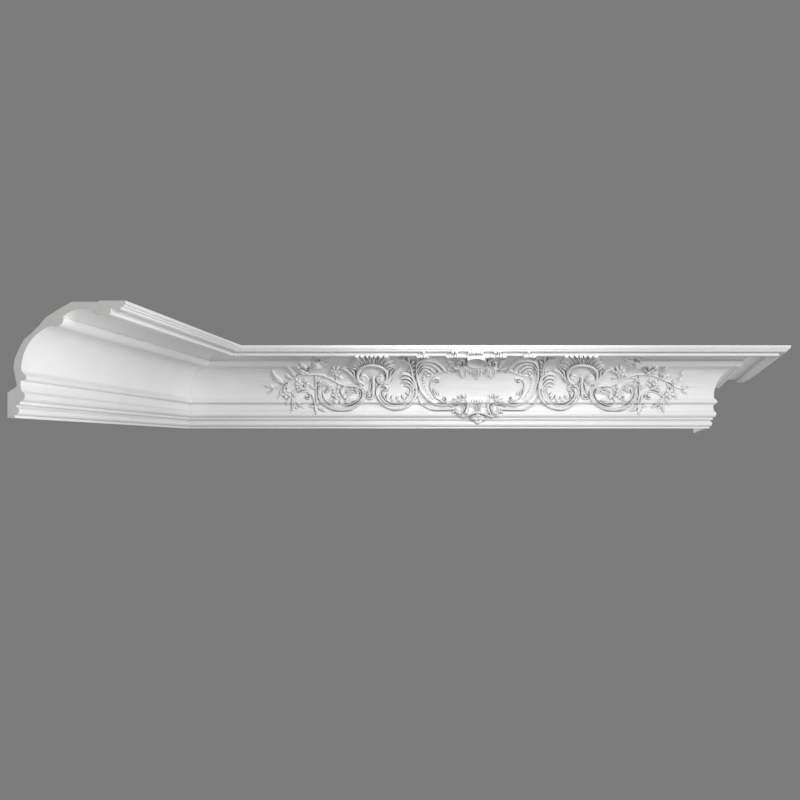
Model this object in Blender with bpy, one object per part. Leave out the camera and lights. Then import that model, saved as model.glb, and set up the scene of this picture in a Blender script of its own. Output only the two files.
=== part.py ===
"""A moulded cornice in three mitred lengths: a plain one, a middle one with a rococo relief in its cove,
and a plain one that turns an outside corner. Each has the same hollow-backed section.

The middle wall lies along X and its room is toward -Y. P is how far a point of the section stands out from
its wall and Q how high it is above the foot, both in millimetres; everything placed in the scene is in
metres."""

import math

import bmesh
import bpy
import numpy as np
from mathutils import Vector

MM = 0.001

# driving sizes, in millimetres
PROJECTION = 170.0
HEIGHT = 168.8
LEFT_WALL = 835.0
CENTRE_WALL = 1159.0
RETURN_DEPTH = 751.0
RETURN_TURN = math.radians(81.8)
MITRE_GAP = 0.3

# the seats that are glued to the wall and the ceiling, and the land between seat and hollow
WALL_SEAT = 36.4
CEILING_SEAT = 38.5
LAND = 1.7

# the great cove, a quarter of an ellipse that stops short of its top, and the beads on either side of it
COVE_FACE = 19.8
COVE_FOOT = 69.5
COVE_DEPTH = 60.0
COVE_RISE = 65.5
COVE_STOP = math.radians(75.7)
COVE_TOP = (64.6, 133.0)
COVE_GIRTH = 104.0

# the lower bead: a round nose over a flat underside, flaring up into the cove's foot
NOSE = (22.6, 58.6)
NOSE_RADIUS = 4.5
NOSE_TURN = math.radians(50)

# the carved zone: the motif's middle and half length, and where the upper bead stops for it. There the cove
# runs on from one point of the section to another, along a curve that leaves and comes in by these reaches
MOTIF_MIDDLE = 655.0
MOTIF_HALF = 478.0
BEAD_STOP = 343.0
BEAD_TAPER = 7.0
SMOOTH_FROM = (34.0, 110.6)
SMOOTH_TO = (127.4, 154.2)
SMOOTH_LEAVES = (21.5, 27.7)
SMOOTH_COMES = (45.0, 5.0)

# the relief is drawn as seen from the room, at this distance from the wall, and near the top it stands out
# along DRAFT
EYE_DISTANCE = 2360.0
EYE_HEIGHT = -42.8
DRAWN_AT = 35.0
DRAFT = math.radians(40.0)
DRAFT_FROM = 60.0
DRAFT_FULL = 135.0
TYPICAL_RELIEF = 7.0

# the relief fades out behind the fascia, and keeps inside the moulding's own front and top
RELIEF_ENDS = 166.0
RELIEF_FADE = 2.0
RELIEF_LIMIT = (169.5, 168.3)

# the mesh: the spacing of its points, the carved length's triangles, its sharp edges, and in metres how near
# two points are one
CELL = 4.0
CARVED_TRIANGLES = 8200
SHARP = math.radians(28)
WELD = 1e-6

WHITE = (0.83, 0.82, 0.79, 1.0)
ROUGHNESS = 0.45

# the whole run's box is centred on the origin, with its foot on the ground
RUN = (math.cos(RETURN_TURN), math.sin(RETURN_TURN))
RETURN_REACH = (RETURN_DEPTH * RUN[0] + PROJECTION) / RUN[1]
MIDDLE_X = (RETURN_REACH + CENTRE_WALL) / 2
MIDDLE_Y = (RETURN_DEPTH - LEFT_WALL) / 2


def world(x, y, z):
    """Metres in the scene, from millimetres off the inside corner of the two walls."""
    return Vector(((x - MIDDLE_X) * MM, (y - MIDDLE_Y) * MM, z * MM))


def spread(start, end, spacing):
    """How many equal steps of about this spacing a stretch takes."""
    return max(1, round(math.dist(start, end) / spacing))


def straight(start, end, spacing):
    steps = spread(start, end, spacing)
    return [(start[0] + (end[0] - start[0]) * i / steps, start[1] + (end[1] - start[1]) * i / steps)
            for i in range(steps)]


def roll(start, end, depth, spacing, fewest=6):
    """Half an ellipse from start to end, bulging to the right of that way, or hollow if depth is minus."""
    along = ((end[0] - start[0]) / 2, (end[1] - start[1]) / 2)
    half = math.hypot(*along)
    out = (along[1] / half * depth, -along[0] / half * depth)
    steps = max(fewest, round((2 * half + 1.1 * abs(depth)) / spacing))
    middle = ((start[0] + end[0]) / 2, (start[1] + end[1]) / 2)
    points = []
    for i in range(steps):
        turn = math.pi * i / steps
        points.append((middle[0] - along[0] * math.cos(turn) + out[0] * math.sin(turn),
                       middle[1] - along[1] * math.cos(turn) + out[1] * math.sin(turn)))
    return points


def bow(start, end, sag, spacing):
    """A shallow curve from start to end that swells by sag to the right of that direction."""
    length = math.dist(start, end)
    out = ((end[1] - start[1]) / length * sag, -(end[0] - start[0]) / length * sag)
    steps = spread(start, end, spacing)
    points = []
    for i in range(steps):
        t = i / steps
        swell = 4 * t * (1 - t)
        points.append((start[0] + (end[0] - start[0]) * t + out[0] * swell,
                       start[1] + (end[1] - start[1]) * t + out[1] * swell))
    return points


def arc(centre, radius, first, last, spacing):
    """A round stretch about centre, from the angle first to the angle last."""
    steps = max(4, round(radius * abs(last - first) / spacing))
    turns = [first + (last - first) * i / steps for i in range(steps)]
    return [(centre[0] + radius * math.cos(turn), centre[1] + radius * math.sin(turn)) for turn in turns]


def flare(start, bend, end, spacing):
    """A hollow curve that leaves start toward bend and comes to end from there."""
    steps = spread(start, end, spacing)
    points = []
    for i in range(steps):
        t = i / steps
        shares = ((1 - t) ** 2, 2 * t * (1 - t), t * t)
        points.append(tuple(np.dot(shares, axis) for axis in zip(start, bend, end)))
    return points


def cove(spacing):
    """The great cove, from its foot up to the quirk under the upper bead."""
    steps = round(COVE_GIRTH / spacing)
    points = []
    for i in range(steps):
        turn = COVE_STOP * i / steps
        points.append((COVE_FACE + COVE_DEPTH * (1 - math.cos(turn)),
                       COVE_FOOT + COVE_RISE * math.sin(turn)))
    return points


def front_outline(spacing):
    """The face of the section from the foot of the wall seat up to the ceiling."""
    foot = [(10.5, 0.0), (10.5, 4.2)]
    ovolo = roll((12.6, 4.8), (13.0, 15.2), 3.6, spacing)
    quirk = [(13.0, 15.2), (12.4, 16.2), (12.4, 18.6), (17.8, 19.6), (18.0, 23.8)]
    torus = roll((19.8, 24.8), (20.6, 37.8), 4.7, spacing)
    scotia = bow((20.6, 37.8), (19.0, 53.2), -1.0, spacing)
    nose = arc(NOSE, NOSE_RADIUS, -math.pi / 2, NOSE_TURN, spacing)
    brow = (NOSE[0] + NOSE_RADIUS * math.cos(NOSE_TURN), NOSE[1] + NOSE_RADIUS * math.sin(NOSE_TURN))
    meets = (COVE_FACE, brow[1] + (brow[0] - COVE_FACE) / math.tan(NOSE_TURN))
    lower_bead = [(19.0, 53.2), (19.6, 54.1)] + nose + flare(brow, meets, (COVE_FACE, COVE_FOOT), spacing)
    upper_bead = roll(COVE_TOP, (79.6, 145.4), 6.6, spacing)
    soffit = [(79.6, 145.4)] + bow((80.2, 146.4), (126.5, 154.4), -6.5, spacing) + [(126.5, 154.4)]
    fillet = [(127.4, 154.2), (128.2, 149.3)] + straight((130.0, 148.8), (146.6, 148.6), spacing)
    fillet += [(146.6, 148.6), (148.2, 149.6)] + straight((148.3, 151.0), (148.4, 157.0), spacing)
    fillet += [(148.4, 157.0), (150.2, 158.6)]
    bead = roll((152.4, 157.8), (163.6, 158.8), 2.8, spacing)
    fascia = [(163.6, 158.8), (164.6, 160.2), (167.2, 160.6), (167.6, 163.2), (PROJECTION, 163.8),
              (PROJECTION, HEIGHT)]
    return (foot + ovolo + quirk + torus + scotia + lower_bead + cove(spacing) + upper_bead + soffit + fillet
            + bead + fascia)


def back_outline():
    """The ceiling seat, the hollow back and the wall seat, from the ceiling down."""
    seat_edge = PROJECTION - CEILING_SEAT
    top = [(seat_edge, HEIGHT), (seat_edge, HEIGHT - LAND), (92.5, HEIGHT - LAND), (75.5, 157.8)]
    hollow = bow((54.6, 144.2), (23.7, 113.0), -1.5, 16)
    hollow += [(23.7, 113.0), (15.4, 97.0), (10.1, 83.4), (8.5, 72.3)]
    seat = [(10.6, 62.0), (12.8, 51.0), (13.4, 47.0), (12.0, 44.2), (0.0, WALL_SEAT), (0.0, 0.0)]
    return top + hollow + seat


def smooth_field(share):
    """The section where the upper bead is left out: the cove runs on up into the soffit."""
    start, end = SMOOTH_FROM, SMOOTH_TO
    first = (start[0] + SMOOTH_LEAVES[0], start[1] + SMOOTH_LEAVES[1])
    second = (end[0] - SMOOTH_COMES[0], end[1] - SMOOTH_COMES[1])
    t = share[:, None]
    return ((1 - t) ** 3 * np.array(start) + 3 * t * (1 - t) ** 2 * np.array(first)
            + 3 * t**2 * (1 - t) * np.array(second) + t**3 * np.array(end))


def field_outline(front):
    """The front outline with its stretch from the upper cove to the fillet on the smooth field."""
    front = np.array(front)
    lies = (front[:, 1] > SMOOTH_FROM[1]) & (front[:, 0] > SMOOTH_FROM[0]) & (front[:, 0] < SMOOTH_TO[0])
    inside = np.nonzero(lies)[0]
    first, last = inside[0] - 1, inside[-1] + 1
    run = np.concatenate([[0], np.cumsum(np.hypot(*np.diff(front[first:last + 1], axis=0).T))])
    field = front.copy()
    field[first:last + 1] = smooth_field(run / run[-1])
    return field


def smooth_curve(points, steps=7, closed=False):
    """Points along a Catmull-Rom curve through the given ones."""
    pts = np.asarray(points, float)
    if len(pts) == 2:
        t = np.linspace(0, 1, steps + 1)[:, None]
        return pts[0] + (pts[1] - pts[0]) * t
    if closed:
        ring = np.vstack([pts[-1], pts, pts[0], pts[1]])
    else:
        ring = np.vstack([2 * pts[0] - pts[1], pts, 2 * pts[-1] - pts[-2]])
    t = np.arange(steps)[:, None] / steps
    out = []
    for q0, q1, q2, q3 in zip(ring[:-3], ring[1:-2], ring[2:-1], ring[3:]):
        out.append(0.5 * (2 * q1 + (q2 - q0) * t + (2 * q0 - 5 * q1 + 4 * q2 - q3) * t**2
                          + (3 * q1 - q0 - 3 * q2 + q3) * t**3))
    out = np.vstack(out)
    return out if closed else np.vstack([out, pts[-1]])


class Relief:
    """A height over the plane of the face, built up form by form."""

    def __init__(self, a, b):
        self.a = -np.abs(a)
        self.b = b
        self.height = np.zeros_like(self.a)

    def near(self, low, high):
        return np.nonzero((self.a > low[0]) & (self.a < high[0]) & (self.b > low[1]) & (self.b < high[1]))[0]

    def lay(self, index, height, blend=0.7):
        """Lays a form over what is there, with a small fillet where the two meet."""
        there = self.height[index]
        gap = np.abs(there - height)
        merged = np.maximum(there, height) + np.maximum(blend - gap, 0) ** 2 / (4 * blend)
        self.height[index] = np.where(height > 0, merged, there)

    def along(self, line, reach):
        """For the points within reach of a line: their index, distance, share of its length and side."""
        index = self.near(line.min(0) - reach, line.max(0) + reach)
        a, b = self.a[index], self.b[index]
        lengths = np.hypot(*np.diff(line, axis=0).T)
        run = np.concatenate([[0], np.cumsum(lengths)])
        best = np.full(len(index), 1e9)
        share = np.zeros(len(index))
        side = np.zeros(len(index))
        for (x0, y0), (x1, y1), length, start in zip(line[:-1], line[1:], lengths, run[:-1]):
            if length < 1e-9:
                continue
            ux, uy = (x1 - x0) / length, (y1 - y0) / length
            along = np.clip((a - x0) * ux + (b - y0) * uy, 0, length)
            dx, dy = a - x0 - along * ux, b - y0 - along * uy
            distance = np.hypot(dx, dy)
            closer = distance < best
            best = np.where(closer, distance, best)
            share = np.where(closer, (start + along) / run[-1], share)
            side = np.where(closer, np.sign(ux * dy - uy * dx), side)
        return index, best, share, side

    def stroke(self, points, width, height, section="round", taper=(1, 1), blend=0.7, smooth=True, ribs=3):
        """A moulded rib along a line. taper is its share of the width at the start and the end."""
        line = smooth_curve(points) if smooth else np.asarray(points, float)
        index, distance, share, side = self.along(line, width)
        half = width / 2 * (taper[0] + (taper[1] - taper[0]) * share)
        r = np.clip(distance / np.maximum(half, 1e-6), 0, 1)
        scale = 0.55 + 0.45 * half / (width / 2)
        if section == "round":
            form = np.sqrt(1 - r**2)
        elif section == "ribbed":
            rib = np.abs(np.sin(np.pi * ribs * (r * side + 1) / 2))
            form = np.clip((1 - r) / 0.14, 0, 1) ** 0.5 * (0.72 + 0.28 * rib**0.8)
        else:
            form = np.clip((1 - r) / 0.35, 0, 1) ** 0.5
        self.lay(index, np.where(distance < half, height * scale * form, 0), blend)

    def leaf(self, base, tip, width, height, bend=0.15, lobes=0, blend=0.5, vein=0.4, fat=0.8):
        """A leaf from base to tip, bent sideways by a share of its length, with cut edges and a vein."""
        base, tip = np.asarray(base, float), np.asarray(tip, float)
        length = np.hypot(*(tip - base))
        across = np.array([-(tip - base)[1], (tip - base)[0]]) / length
        t = np.linspace(0, 1, 13)[:, None]
        middle = (base + tip) / 2 + across * bend * length * 2
        line = (1 - t) ** 2 * base + 2 * t * (1 - t) * middle + t**2 * tip
        index, distance, share, _ = self.along(line, width)
        half = width / 2 * np.sin(np.pi * np.clip(share, 0.02, 1) ** fat) ** 0.75
        if lobes:
            half = half * (0.72 + 0.28 * np.abs(np.sin(np.pi * lobes * share)) ** 0.6)
        half = np.maximum(half, 0.12 * width * (1 - share))
        r = np.clip(distance / np.maximum(half, 1e-6), 0, 1)
        form = (1 - r**2) ** 0.5 * (1 - vein * np.exp(-((r / 0.2) ** 2)))
        if lobes:
            form = form * (0.8 + 0.2 * np.abs(np.sin(np.pi * lobes * (share + 0.12 * r))))
        fade = np.clip((1 - share) * 3, 0.25, 1) ** 0.5
        self.lay(index, np.where(distance < half, height * form * fade, 0), blend)

    def within(self, centre, radii):
        """The points in an ellipse's box: their index and how far out they lie, 1 on the ellipse itself."""
        index = self.near(np.subtract(centre, radii), np.add(centre, radii))
        x, y = self.a[index] - centre[0], self.b[index] - centre[1]
        return index, np.hypot(x / radii[0], y / radii[1])

    def dome(self, centre, radii, height, power=0.5, blend=0.7):
        """A rounded boss on an ellipse."""
        index, rho = self.within(centre, radii)
        form = np.clip(1 - rho**2, 0, 1) ** power
        self.lay(index, np.where(rho < 1, height * form, 0), blend)

    def sink(self, centre, radii, depth_to):
        """Hollows an ellipse down to a given height."""
        index, rho = self.within(centre, radii)
        wall = np.clip((rho - 0.72) / 0.28, 0, 1) ** 2
        there = self.height[index]
        sunk = np.minimum(there, depth_to + (there - depth_to) * wall)
        self.height[index] = np.where(rho < 1, sunk, there)

    def ring(self, centre, radii, width, height, start, end, blend):
        """A rib along an elliptical arc, from one angle to the other in degrees."""
        turns = np.radians(np.linspace(start, end, 25))
        line = np.column_stack([centre[0] + radii[0] * np.cos(turns), centre[1] + radii[1] * np.sin(turns)])
        self.stroke(line, width, height, blend=blend, smooth=False)

    def flower(self, centre, radius, height, petals, turn):
        """An open flower with a round eye, turned by an angle in degrees."""
        index, rho = self.within(centre, (radius, radius))
        x, y = self.a[index] - centre[0], self.b[index] - centre[1]
        lobe = np.abs(np.cos(petals * (np.arctan2(y, x) + math.radians(turn)) / 2))
        out = np.clip(rho / (0.62 + 0.38 * lobe**0.7), 0, 1)
        form = np.sqrt(1 - out**4) * (0.45 + 0.55 * lobe**0.5 * np.clip(out * 1.6, 0, 1))
        self.lay(index, np.where(out < 1, height * form, 0), 0.5)
        self.dome(centre, (radius * 0.32, radius * 0.32), height * 1.1, blend=0.2)

    def fan(self, centre, inner, outer, start, end, lobes, height):
        """A fluted shell: lobes spread round a centre from one angle to the other, in degrees."""
        index, _ = self.within(centre, (outer, outer))
        x, y = self.a[index] - centre[0], self.b[index] - centre[1]
        middle, half = (start + end) / 2, (end - start) / 2
        offset = np.degrees(np.arctan2(y, x)) - middle
        wave = np.abs(np.sin(np.pi * lobes * (offset + half) / (2 * half))) ** 0.8
        edge = outer * (0.86 + 0.14 * wave)
        rho = (np.hypot(x, y) - inner) / (edge - inner)
        form = (0.5 + 0.5 * wave) * (0.8 + 0.2 * np.clip(rho, 0, 1))
        form = form * np.clip(1 - np.clip(rho, 0, 1) ** 6, 0, 1) ** 0.5 * np.clip(rho * 5, 0, 1) ** 0.5
        inside = (rho > 0) & (rho < 1) & (np.abs(offset) < half)
        self.lay(index, np.where(inside, height * form, 0))

    def spiral(self, centre, radius, start, turns, width, height, hand=1, blend=0.5):
        """A volute: a rib that winds in from an angle, ending in a round eye."""
        t = np.linspace(0, 1, int(14 * turns) + 8)
        angle = math.radians(start) + hand * 2 * np.pi * turns * t
        reach = radius * (1 - 0.8 * t)
        line = np.column_stack([centre[0] + reach * np.cos(angle), centre[1] + reach * np.sin(angle)])
        self.stroke(line, width, height, taper=(1, 0.6), blend=blend, smooth=False)
        self.dome(centre, (radius * 0.34, radius * 0.34), height * 1.15, blend=0.3)

    def plate(self, outline, height, edge, crown=0.0, blend=0.7):
        """A raised plate inside a closed line, with a rounded edge and, if crowned, a swelling middle."""
        line = smooth_curve(outline, closed=True)
        line = np.vstack([line, line[0]])
        index, distance, _, _ = self.along(line, 0)
        a, b = self.a[index], self.b[index]
        inside = np.zeros(len(index), bool)
        for (x0, y0), (x1, y1) in zip(line[:-1], line[1:]):
            crossing = (y0 > b) != (y1 > b)
            inside ^= crossing & (a < (x1 - x0) * (b - y0) / (y1 - y0 + 1e-12) + x0)
        rise = np.sqrt(1 - (1 - np.clip(distance / edge, 0, 1)) ** 2)
        form = height * rise + crown * (1 - np.exp(-((distance / 22) ** 1.5)))
        self.lay(index, np.where(inside, form, 0), blend)

    def pearls(self, points, count, first, last, height):
        line = smooth_curve(points)
        run = np.concatenate([[0], np.cumsum(np.hypot(*np.diff(line, axis=0).T))])
        for i in range(count):
            share = i / (count - 1)
            at = run[-1] * (share * (1.12 - 0.12 * share))
            centre = (np.interp(at, run, line[:, 0]), np.interp(at, run, line[:, 1]))
            radius = first + (last - first) * share
            self.dome(centre, (radius, radius), height * (0.75 + 0.25 * radius / first), 0.45, blend=0.2)


def spray(r):
    """The leaf and flower spray at the motif's end."""
    r.stroke([(-449.5, 85.5), (-435.5, 89), (-423.5, 98.5), (-413.5, 102.5), (-401, 108.5), (-384, 114),
              (-365.5, 115.5), (-348.5, 115.5), (-336.5, 112.5), (-325.5, 108), (-310.5, 100),
              (-299.5, 94.5), (-290.5, 92.5)], 4.6, 5.2, taper=(0.7, 1))
    r.stroke([(-350.5, 101.5), (-345.5, 107), (-334.5, 109), (-323.5, 106)], 3.4, 4.2, taper=(0.6, 1))
    r.stroke([(-355.5, 112.5), (-356, 92.5), (-354, 66), (-353.5, 37.5)], 4.8, 5.2, taper=(0.8, 1))
    r.stroke([(-401, 108.5), (-393.5, 96)], 3, 3.6)
    r.stroke([(-310.5, 100.5), (-311.5, 112.5)], 3, 3.6)
    r.stroke([(-415.5, 101.5), (-419, 86)], 3, 3.6)
    for base, tip, width, height, bend, lobes in (
            ((-447, 86), (-471, 90.5), 8, 5.5, -0.1, 2), ((-448.5, 84), (-464.5, 75.5), 7, 5, 0.12, 2),
            ((-449.5, 87), (-461.5, 95.5), 6, 4.6, -0.1, 0), ((-426, 97), (-452, 125), 10, 7, 0.1, 3),
            ((-429.5, 96.5), (-451, 104.5), 9, 6, -0.12, 2), ((-430, 103.5), (-447.5, 114.5), 7, 5, 0.1, 2),
            ((-401.5, 109), (-418.5, 131), 9, 6.5, -0.1, 2), ((-406, 108), (-421.5, 115.5), 8, 5.5, 0.1, 2),
            ((-371, 117), (-397, 133), 12, 9, 0.1, 3), ((-375, 124), (-393.5, 140.5), 9, 7, -0.1, 2),
            ((-372.5, 117.5), (-363, 128), 8, 6, 0.14, 2), ((-382.5, 116), (-394.5, 119), 7, 5, -0.1, 0),
            ((-432, 84), (-441, 61.5), 9, 5.5, 0.12, 2), ((-416.5, 94.5), (-428, 83), 8, 5.5, -0.1, 2),
            ((-401.5, 78), (-375, 86), 8, 6, 0.1, 2), ((-382, 89), (-369.5, 96), 7, 5, 0.1, 2),
            ((-407, 67.5), (-410.5, 32.5), 10, 6.5, 0.1, 3), ((-403.5, 66), (-378.5, 44.5), 9, 6, -0.12, 3),
            ((-405, 62), (-392.5, 41), 8, 5.5, -0.12, 2), ((-412, 66), (-420, 48.5), 8, 5, -0.1, 2),
            ((-353.5, 55.5), (-329, 37.5), 10, 6.5, -0.14, 2), ((-355, 53), (-373, 48), 7, 5, 0.14, 0),
            ((-354, 45), (-357, 29), 7, 5, 0.1, 0), ((-354, 92.5), (-343, 102.5), 7, 5, -0.12, 0),
            ((-356.5, 86), (-368.5, 93.5), 8, 5.5, 0.12, 2),
            ((-354.5, 70.5), (-345.5, 62.5), 6, 4.4, 0.1, 0)):
        r.leaf(base, tip, width, height, bend, lobes)
    for centre, radius, height, petals, turn in (
            ((-421.5, 75.5), 11.5, 7, 5, 20), ((-392.5, 93.5), 10, 7, 5, 60), ((-403, 76), 7, 5.6, 4, 0),
            ((-350.5, 104), 6.5, 5.6, 4, 30), ((-312.5, 122), 12.5, 8, 6, 10),
            ((-379.5, 102.5), 5.5, 4.6, 4, 0)):
        r.flower(centre, radius, height, petals, turn)
    r.stroke([(-396.5, 76.5), (-385, 79), (-373, 79), (-364.5, 73.5), (-360, 64), (-357.5, 53),
              (-356.5, 40)], 5, 6, taper=(0.6, 1))
    r.spiral((-374.5, 69.5), 7.5, 60, 1.0, 3.8, 5.6, hand=-1)
    r.leaf((-301.5, 118), (-287.5, 129), 9, 6, bend=0.12, lobes=2)
    r.leaf((-321.5, 119), (-332, 109), 8, 5, bend=0.1, lobes=2)
    r.leaf((-306, 111), (-294, 106.5), 7, 5, bend=-0.1)


def bead_end(r):
    """The torn leaf that ends the upper bead and flicks up to a point."""
    r.leaf((-360.5, 136.5), (-320, 151), 15, 9, bend=-0.1, lobes=3)
    r.leaf((-360.5, 134), (-335.5, 134.5), 11, 8, bend=-0.08, lobes=2)
    r.leaf((-360.5, 138.5), (-346.5, 153), 10, 7.5, bend=0.12, lobes=2)


def first_scroll(r):
    """The C-scroll with flowers in it: a ribbed band that curls in at both heads."""
    r.stroke([(-332, 79.5), (-325, 86), (-328.5, 93.5), (-338, 95.5), (-346, 90.5), (-348.5, 79.5),
              (-346, 66), (-338, 55.5), (-326, 47), (-312.5, 42.5), (-295, 41.5), (-278.5, 44.5),
              (-264.5, 52), (-254, 61), (-249.5, 73), (-251.5, 84.5), (-259, 90.5), (-265.5, 87.5),
              (-263.5, 80.5)], 12.5, 9, "ribbed", taper=(0.5, 0.75), ribs=3)
    r.stroke([(-257.5, 82.5), (-257.5, 71.5), (-264.5, 61), (-274.5, 54), (-286, 51), (-297, 52.5),
              (-302, 59), (-298, 66)], 4, 6.8, taper=(0.7, 1))
    r.stroke([(-337.5, 84), (-339.5, 73), (-334.5, 62.5), (-325, 55.5), (-314.5, 53)], 3.8, 5.4,
             taper=(1, 0.6))
    r.stroke([(-298, 72), (-300.5, 81.5), (-296.5, 88.5), (-287.5, 92), (-277.5, 91.5), (-268.5, 91.5)], 4.8,
             7.4, taper=(0.6, 1))
    r.flower((-311.5, 74), 10.5, 7.5, 5, 15)
    for base, tip, width, height, bend, lobes in (
            ((-317, 84), (-324, 96), 8, 5.5, 0.1, 2), ((-307, 84), (-303.5, 96), 7, 5, 0.1, 0),
            ((-290.5, 78.5), (-272, 87), 9, 6.5, 0.1, 2), ((-291.5, 72), (-266.5, 76.5), 10, 7, 0.1, 3),
            ((-290.5, 66), (-268, 62.5), 10, 7, -0.1, 3), ((-291.5, 61), (-277.5, 55.5), 7, 5.5, -0.1, 0),
            ((-316, 64), (-307, 52), 8, 5.5, -0.12, 2), ((-321.5, 67.5), (-325.5, 58.5), 7, 5, 0.1, 0)):
        r.leaf(base, tip, width, height, bend, lobes)
    r.dome((-292.5, 69.5), (5, 5), 7.5)


def shell_crest(r):
    """The shell over its keyhole: curled lobes spread round a horseshoe arch that ends in two volutes."""
    middle = -230.5
    lobes = (((-230.5, 138.5), (-230.5, 156), 15, 11, 0.0), ((-239, 138.5), (-242.5, 155.5), 11, 10.5, 0.12),
             ((-244.5, 136.5), (-255.5, 153.5), 12, 11.5, 0.14),
             ((-250, 135), (-272.5, 149.5), 14, 12, 0.18), ((-255.5, 130), (-277.5, 143), 13, 11.5, 0.16),
             ((-257.5, 124), (-281, 134), 12, 10.5, 0.16))
    for base, tip, width, height, bend in lobes:
        for hand in (-1, 1):
            start = (middle + hand * (middle - base[0]), base[1])
            end = (middle + hand * (middle - tip[0]), tip[1])
            r.leaf(start, end, width, height, bend=hand * bend, vein=0.45, fat=1.15, blend=0.2)
    for hand in (-1, 1):
        flare = [(middle + hand * x, y) for x, y in ((26, 96), (36, 104), (43, 114), (52, 123), (61, 127))]
        r.stroke(flare, 10, 11, taper=(0.8, 0.35), blend=0.3)
        inner = [(middle + hand * x, y) for x, y in ((29, 100), (37, 110), (41, 121), (48, 131))]
        r.stroke(inner, 9, 11.5, taper=(0.8, 0.4), blend=0.3)
        rib = [(middle + hand * x, y) for x, y in ((19, 97), (29, 104), (32.5, 116), (29, 128), (20, 135.6),
                                                   (9, 138.6), (0, 139.4))]
        r.stroke(rib, 7, 13.5, taper=(0.9, 1), blend=0.3)
        eye = (middle + hand * 18.5, 106)
        r.dome(eye, (11.5, 10.5), 10, 0.3, blend=0.2)
        r.spiral(eye, 10.5, 90 - hand * 15, 0.9, 4.6, 10.8, hand=hand)
    r.dome((middle, 119), (24, 17), 7.5, 0.9)
    # the keyhole stem, its spread foot and the small curl under it
    r.stroke([(-229, 112.5), (-228.5, 94.5), (-229.5, 75)], 8.5, 9.5, taper=(0.9, 1))
    r.stroke([(-234, 99), (-237, 86), (-243, 73.5)], 5, 7, taper=(0.8, 0.6))
    r.stroke([(-223.5, 97), (-222.5, 84), (-219, 73)], 4.6, 7, taper=(0.8, 0.6))
    r.stroke([(-230, 77), (-230.5, 69.5), (-235.5, 64.5), (-241.5, 66.5), (-240.5, 71)], 4.6, 7.6,
             taper=(1, 0.7))
    r.dome((-237, 69.5), (3, 3), 7)


def second_scroll(r):
    """The C-scroll with a small scalloped shell in its band, and a curled acanthus leaf on its shoulder."""
    r.plate([(-189.5, 119), (-174.5, 122), (-169, 110), (-163.5, 92.5), (-154.5, 81.5), (-168, 70.5),
             (-183, 67.5), (-198.5, 75), (-196.5, 88), (-189.5, 101.5)], 2.6, 7)
    r.stroke([(-216, 84), (-217, 73), (-206.5, 56.5), (-189.5, 48), (-172, 48.5), (-157, 55.5),
              (-144.5, 68.5), (-140.5, 84), (-143.5, 92.5)], 19, 5, "flat", taper=(0.5, 0.8))
    tongues = (((-208, 67.5), (-204.5, 81.5)), ((-199.5, 61), (-194, 75.5)), ((-187, 58), (-184, 72)),
               ((-173.5, 58.5), (-173.5, 75.5)), ((-161, 62.5), (-163.5, 77.5)),
               ((-151, 71.5), (-155, 84.5)))
    for base, tip in tongues:
        r.leaf(base, tip, 10.5, 6.6, bend=0.03, vein=0.35, fat=1.3, blend=0.2)
    r.stroke([(-204, 81), (-198.5, 86), (-202, 91.5), (-212, 93), (-219.5, 87.5), (-222.5, 78.5), (-219, 68),
              (-210.5, 55.5), (-200.5, 47), (-187.5, 42.5), (-174.5, 42.5), (-161, 45), (-150, 52),
              (-141.5, 61), (-135.5, 73), (-135.5, 85), (-140.5, 95.5)], 6.6, 10, taper=(0.7, 0.9),
             blend=0.3)
    r.stroke([(-208.5, 86), (-213.5, 80.5), (-213, 69.5), (-206.5, 59.5), (-196.5, 52.5), (-184.5, 49.5),
              (-172, 50), (-159, 54.5), (-148.5, 62.5), (-142.5, 73), (-141.5, 84), (-144.5, 92.5)], 4.8,
             8.6, taper=(0.7, 1), blend=0.3)
    r.stroke([(-206.5, 74), (-203, 64), (-194, 58), (-183, 55.5), (-172, 56), (-160.5, 60), (-152, 68.5),
              (-147.5, 78), (-148, 88)], 4, 7.4, taper=(0.7, 1), blend=0.3)
    for points, width, height in (
            ([(-135, 88), (-136.5, 101.5), (-143.5, 111.5), (-153.5, 117.5), (-163.5, 118.5),
              (-171, 114.5)], 8, 12),
            ([(-138, 88), (-141.5, 99), (-149, 107), (-158, 110), (-168.5, 106.5)], 7.4, 11),
            ([(-141, 87.5), (-146, 95.5), (-153, 101), (-160.5, 102), (-168, 97)], 7, 10.2),
            ([(-143.5, 84), (-149, 90.5), (-156, 93), (-162, 90.5)], 5.6, 9)):
        r.stroke(points, width, height, taper=(1, 0.45), blend=0.25)
    # the upright feather between this scroll and the cartouche
    r.stroke([(-137, 94.5), (-142, 112.5), (-145, 127.5), (-147.5, 138.5), (-154, 145.5), (-164, 148.5),
              (-172, 148)], 6.5, 11, taper=(1, 0.5), blend=0.3)
    for base, tip in (((-146.5, 135.5), (-135.5, 144.5)), ((-145.5, 129), (-135, 136.5)),
                      ((-144, 121.5), (-135, 127.5)), ((-143, 114.5), (-135.5, 119.5)),
                      ((-149, 141), (-163, 153)), ((-148, 144), (-149.5, 154)),
                      ((-146, 125.5), (-153.5, 126.5)), ((-144.5, 117.5), (-151, 121.5))):
        r.leaf(base, tip, 7, 9.5, bend=0.12, vein=0.3)


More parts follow.
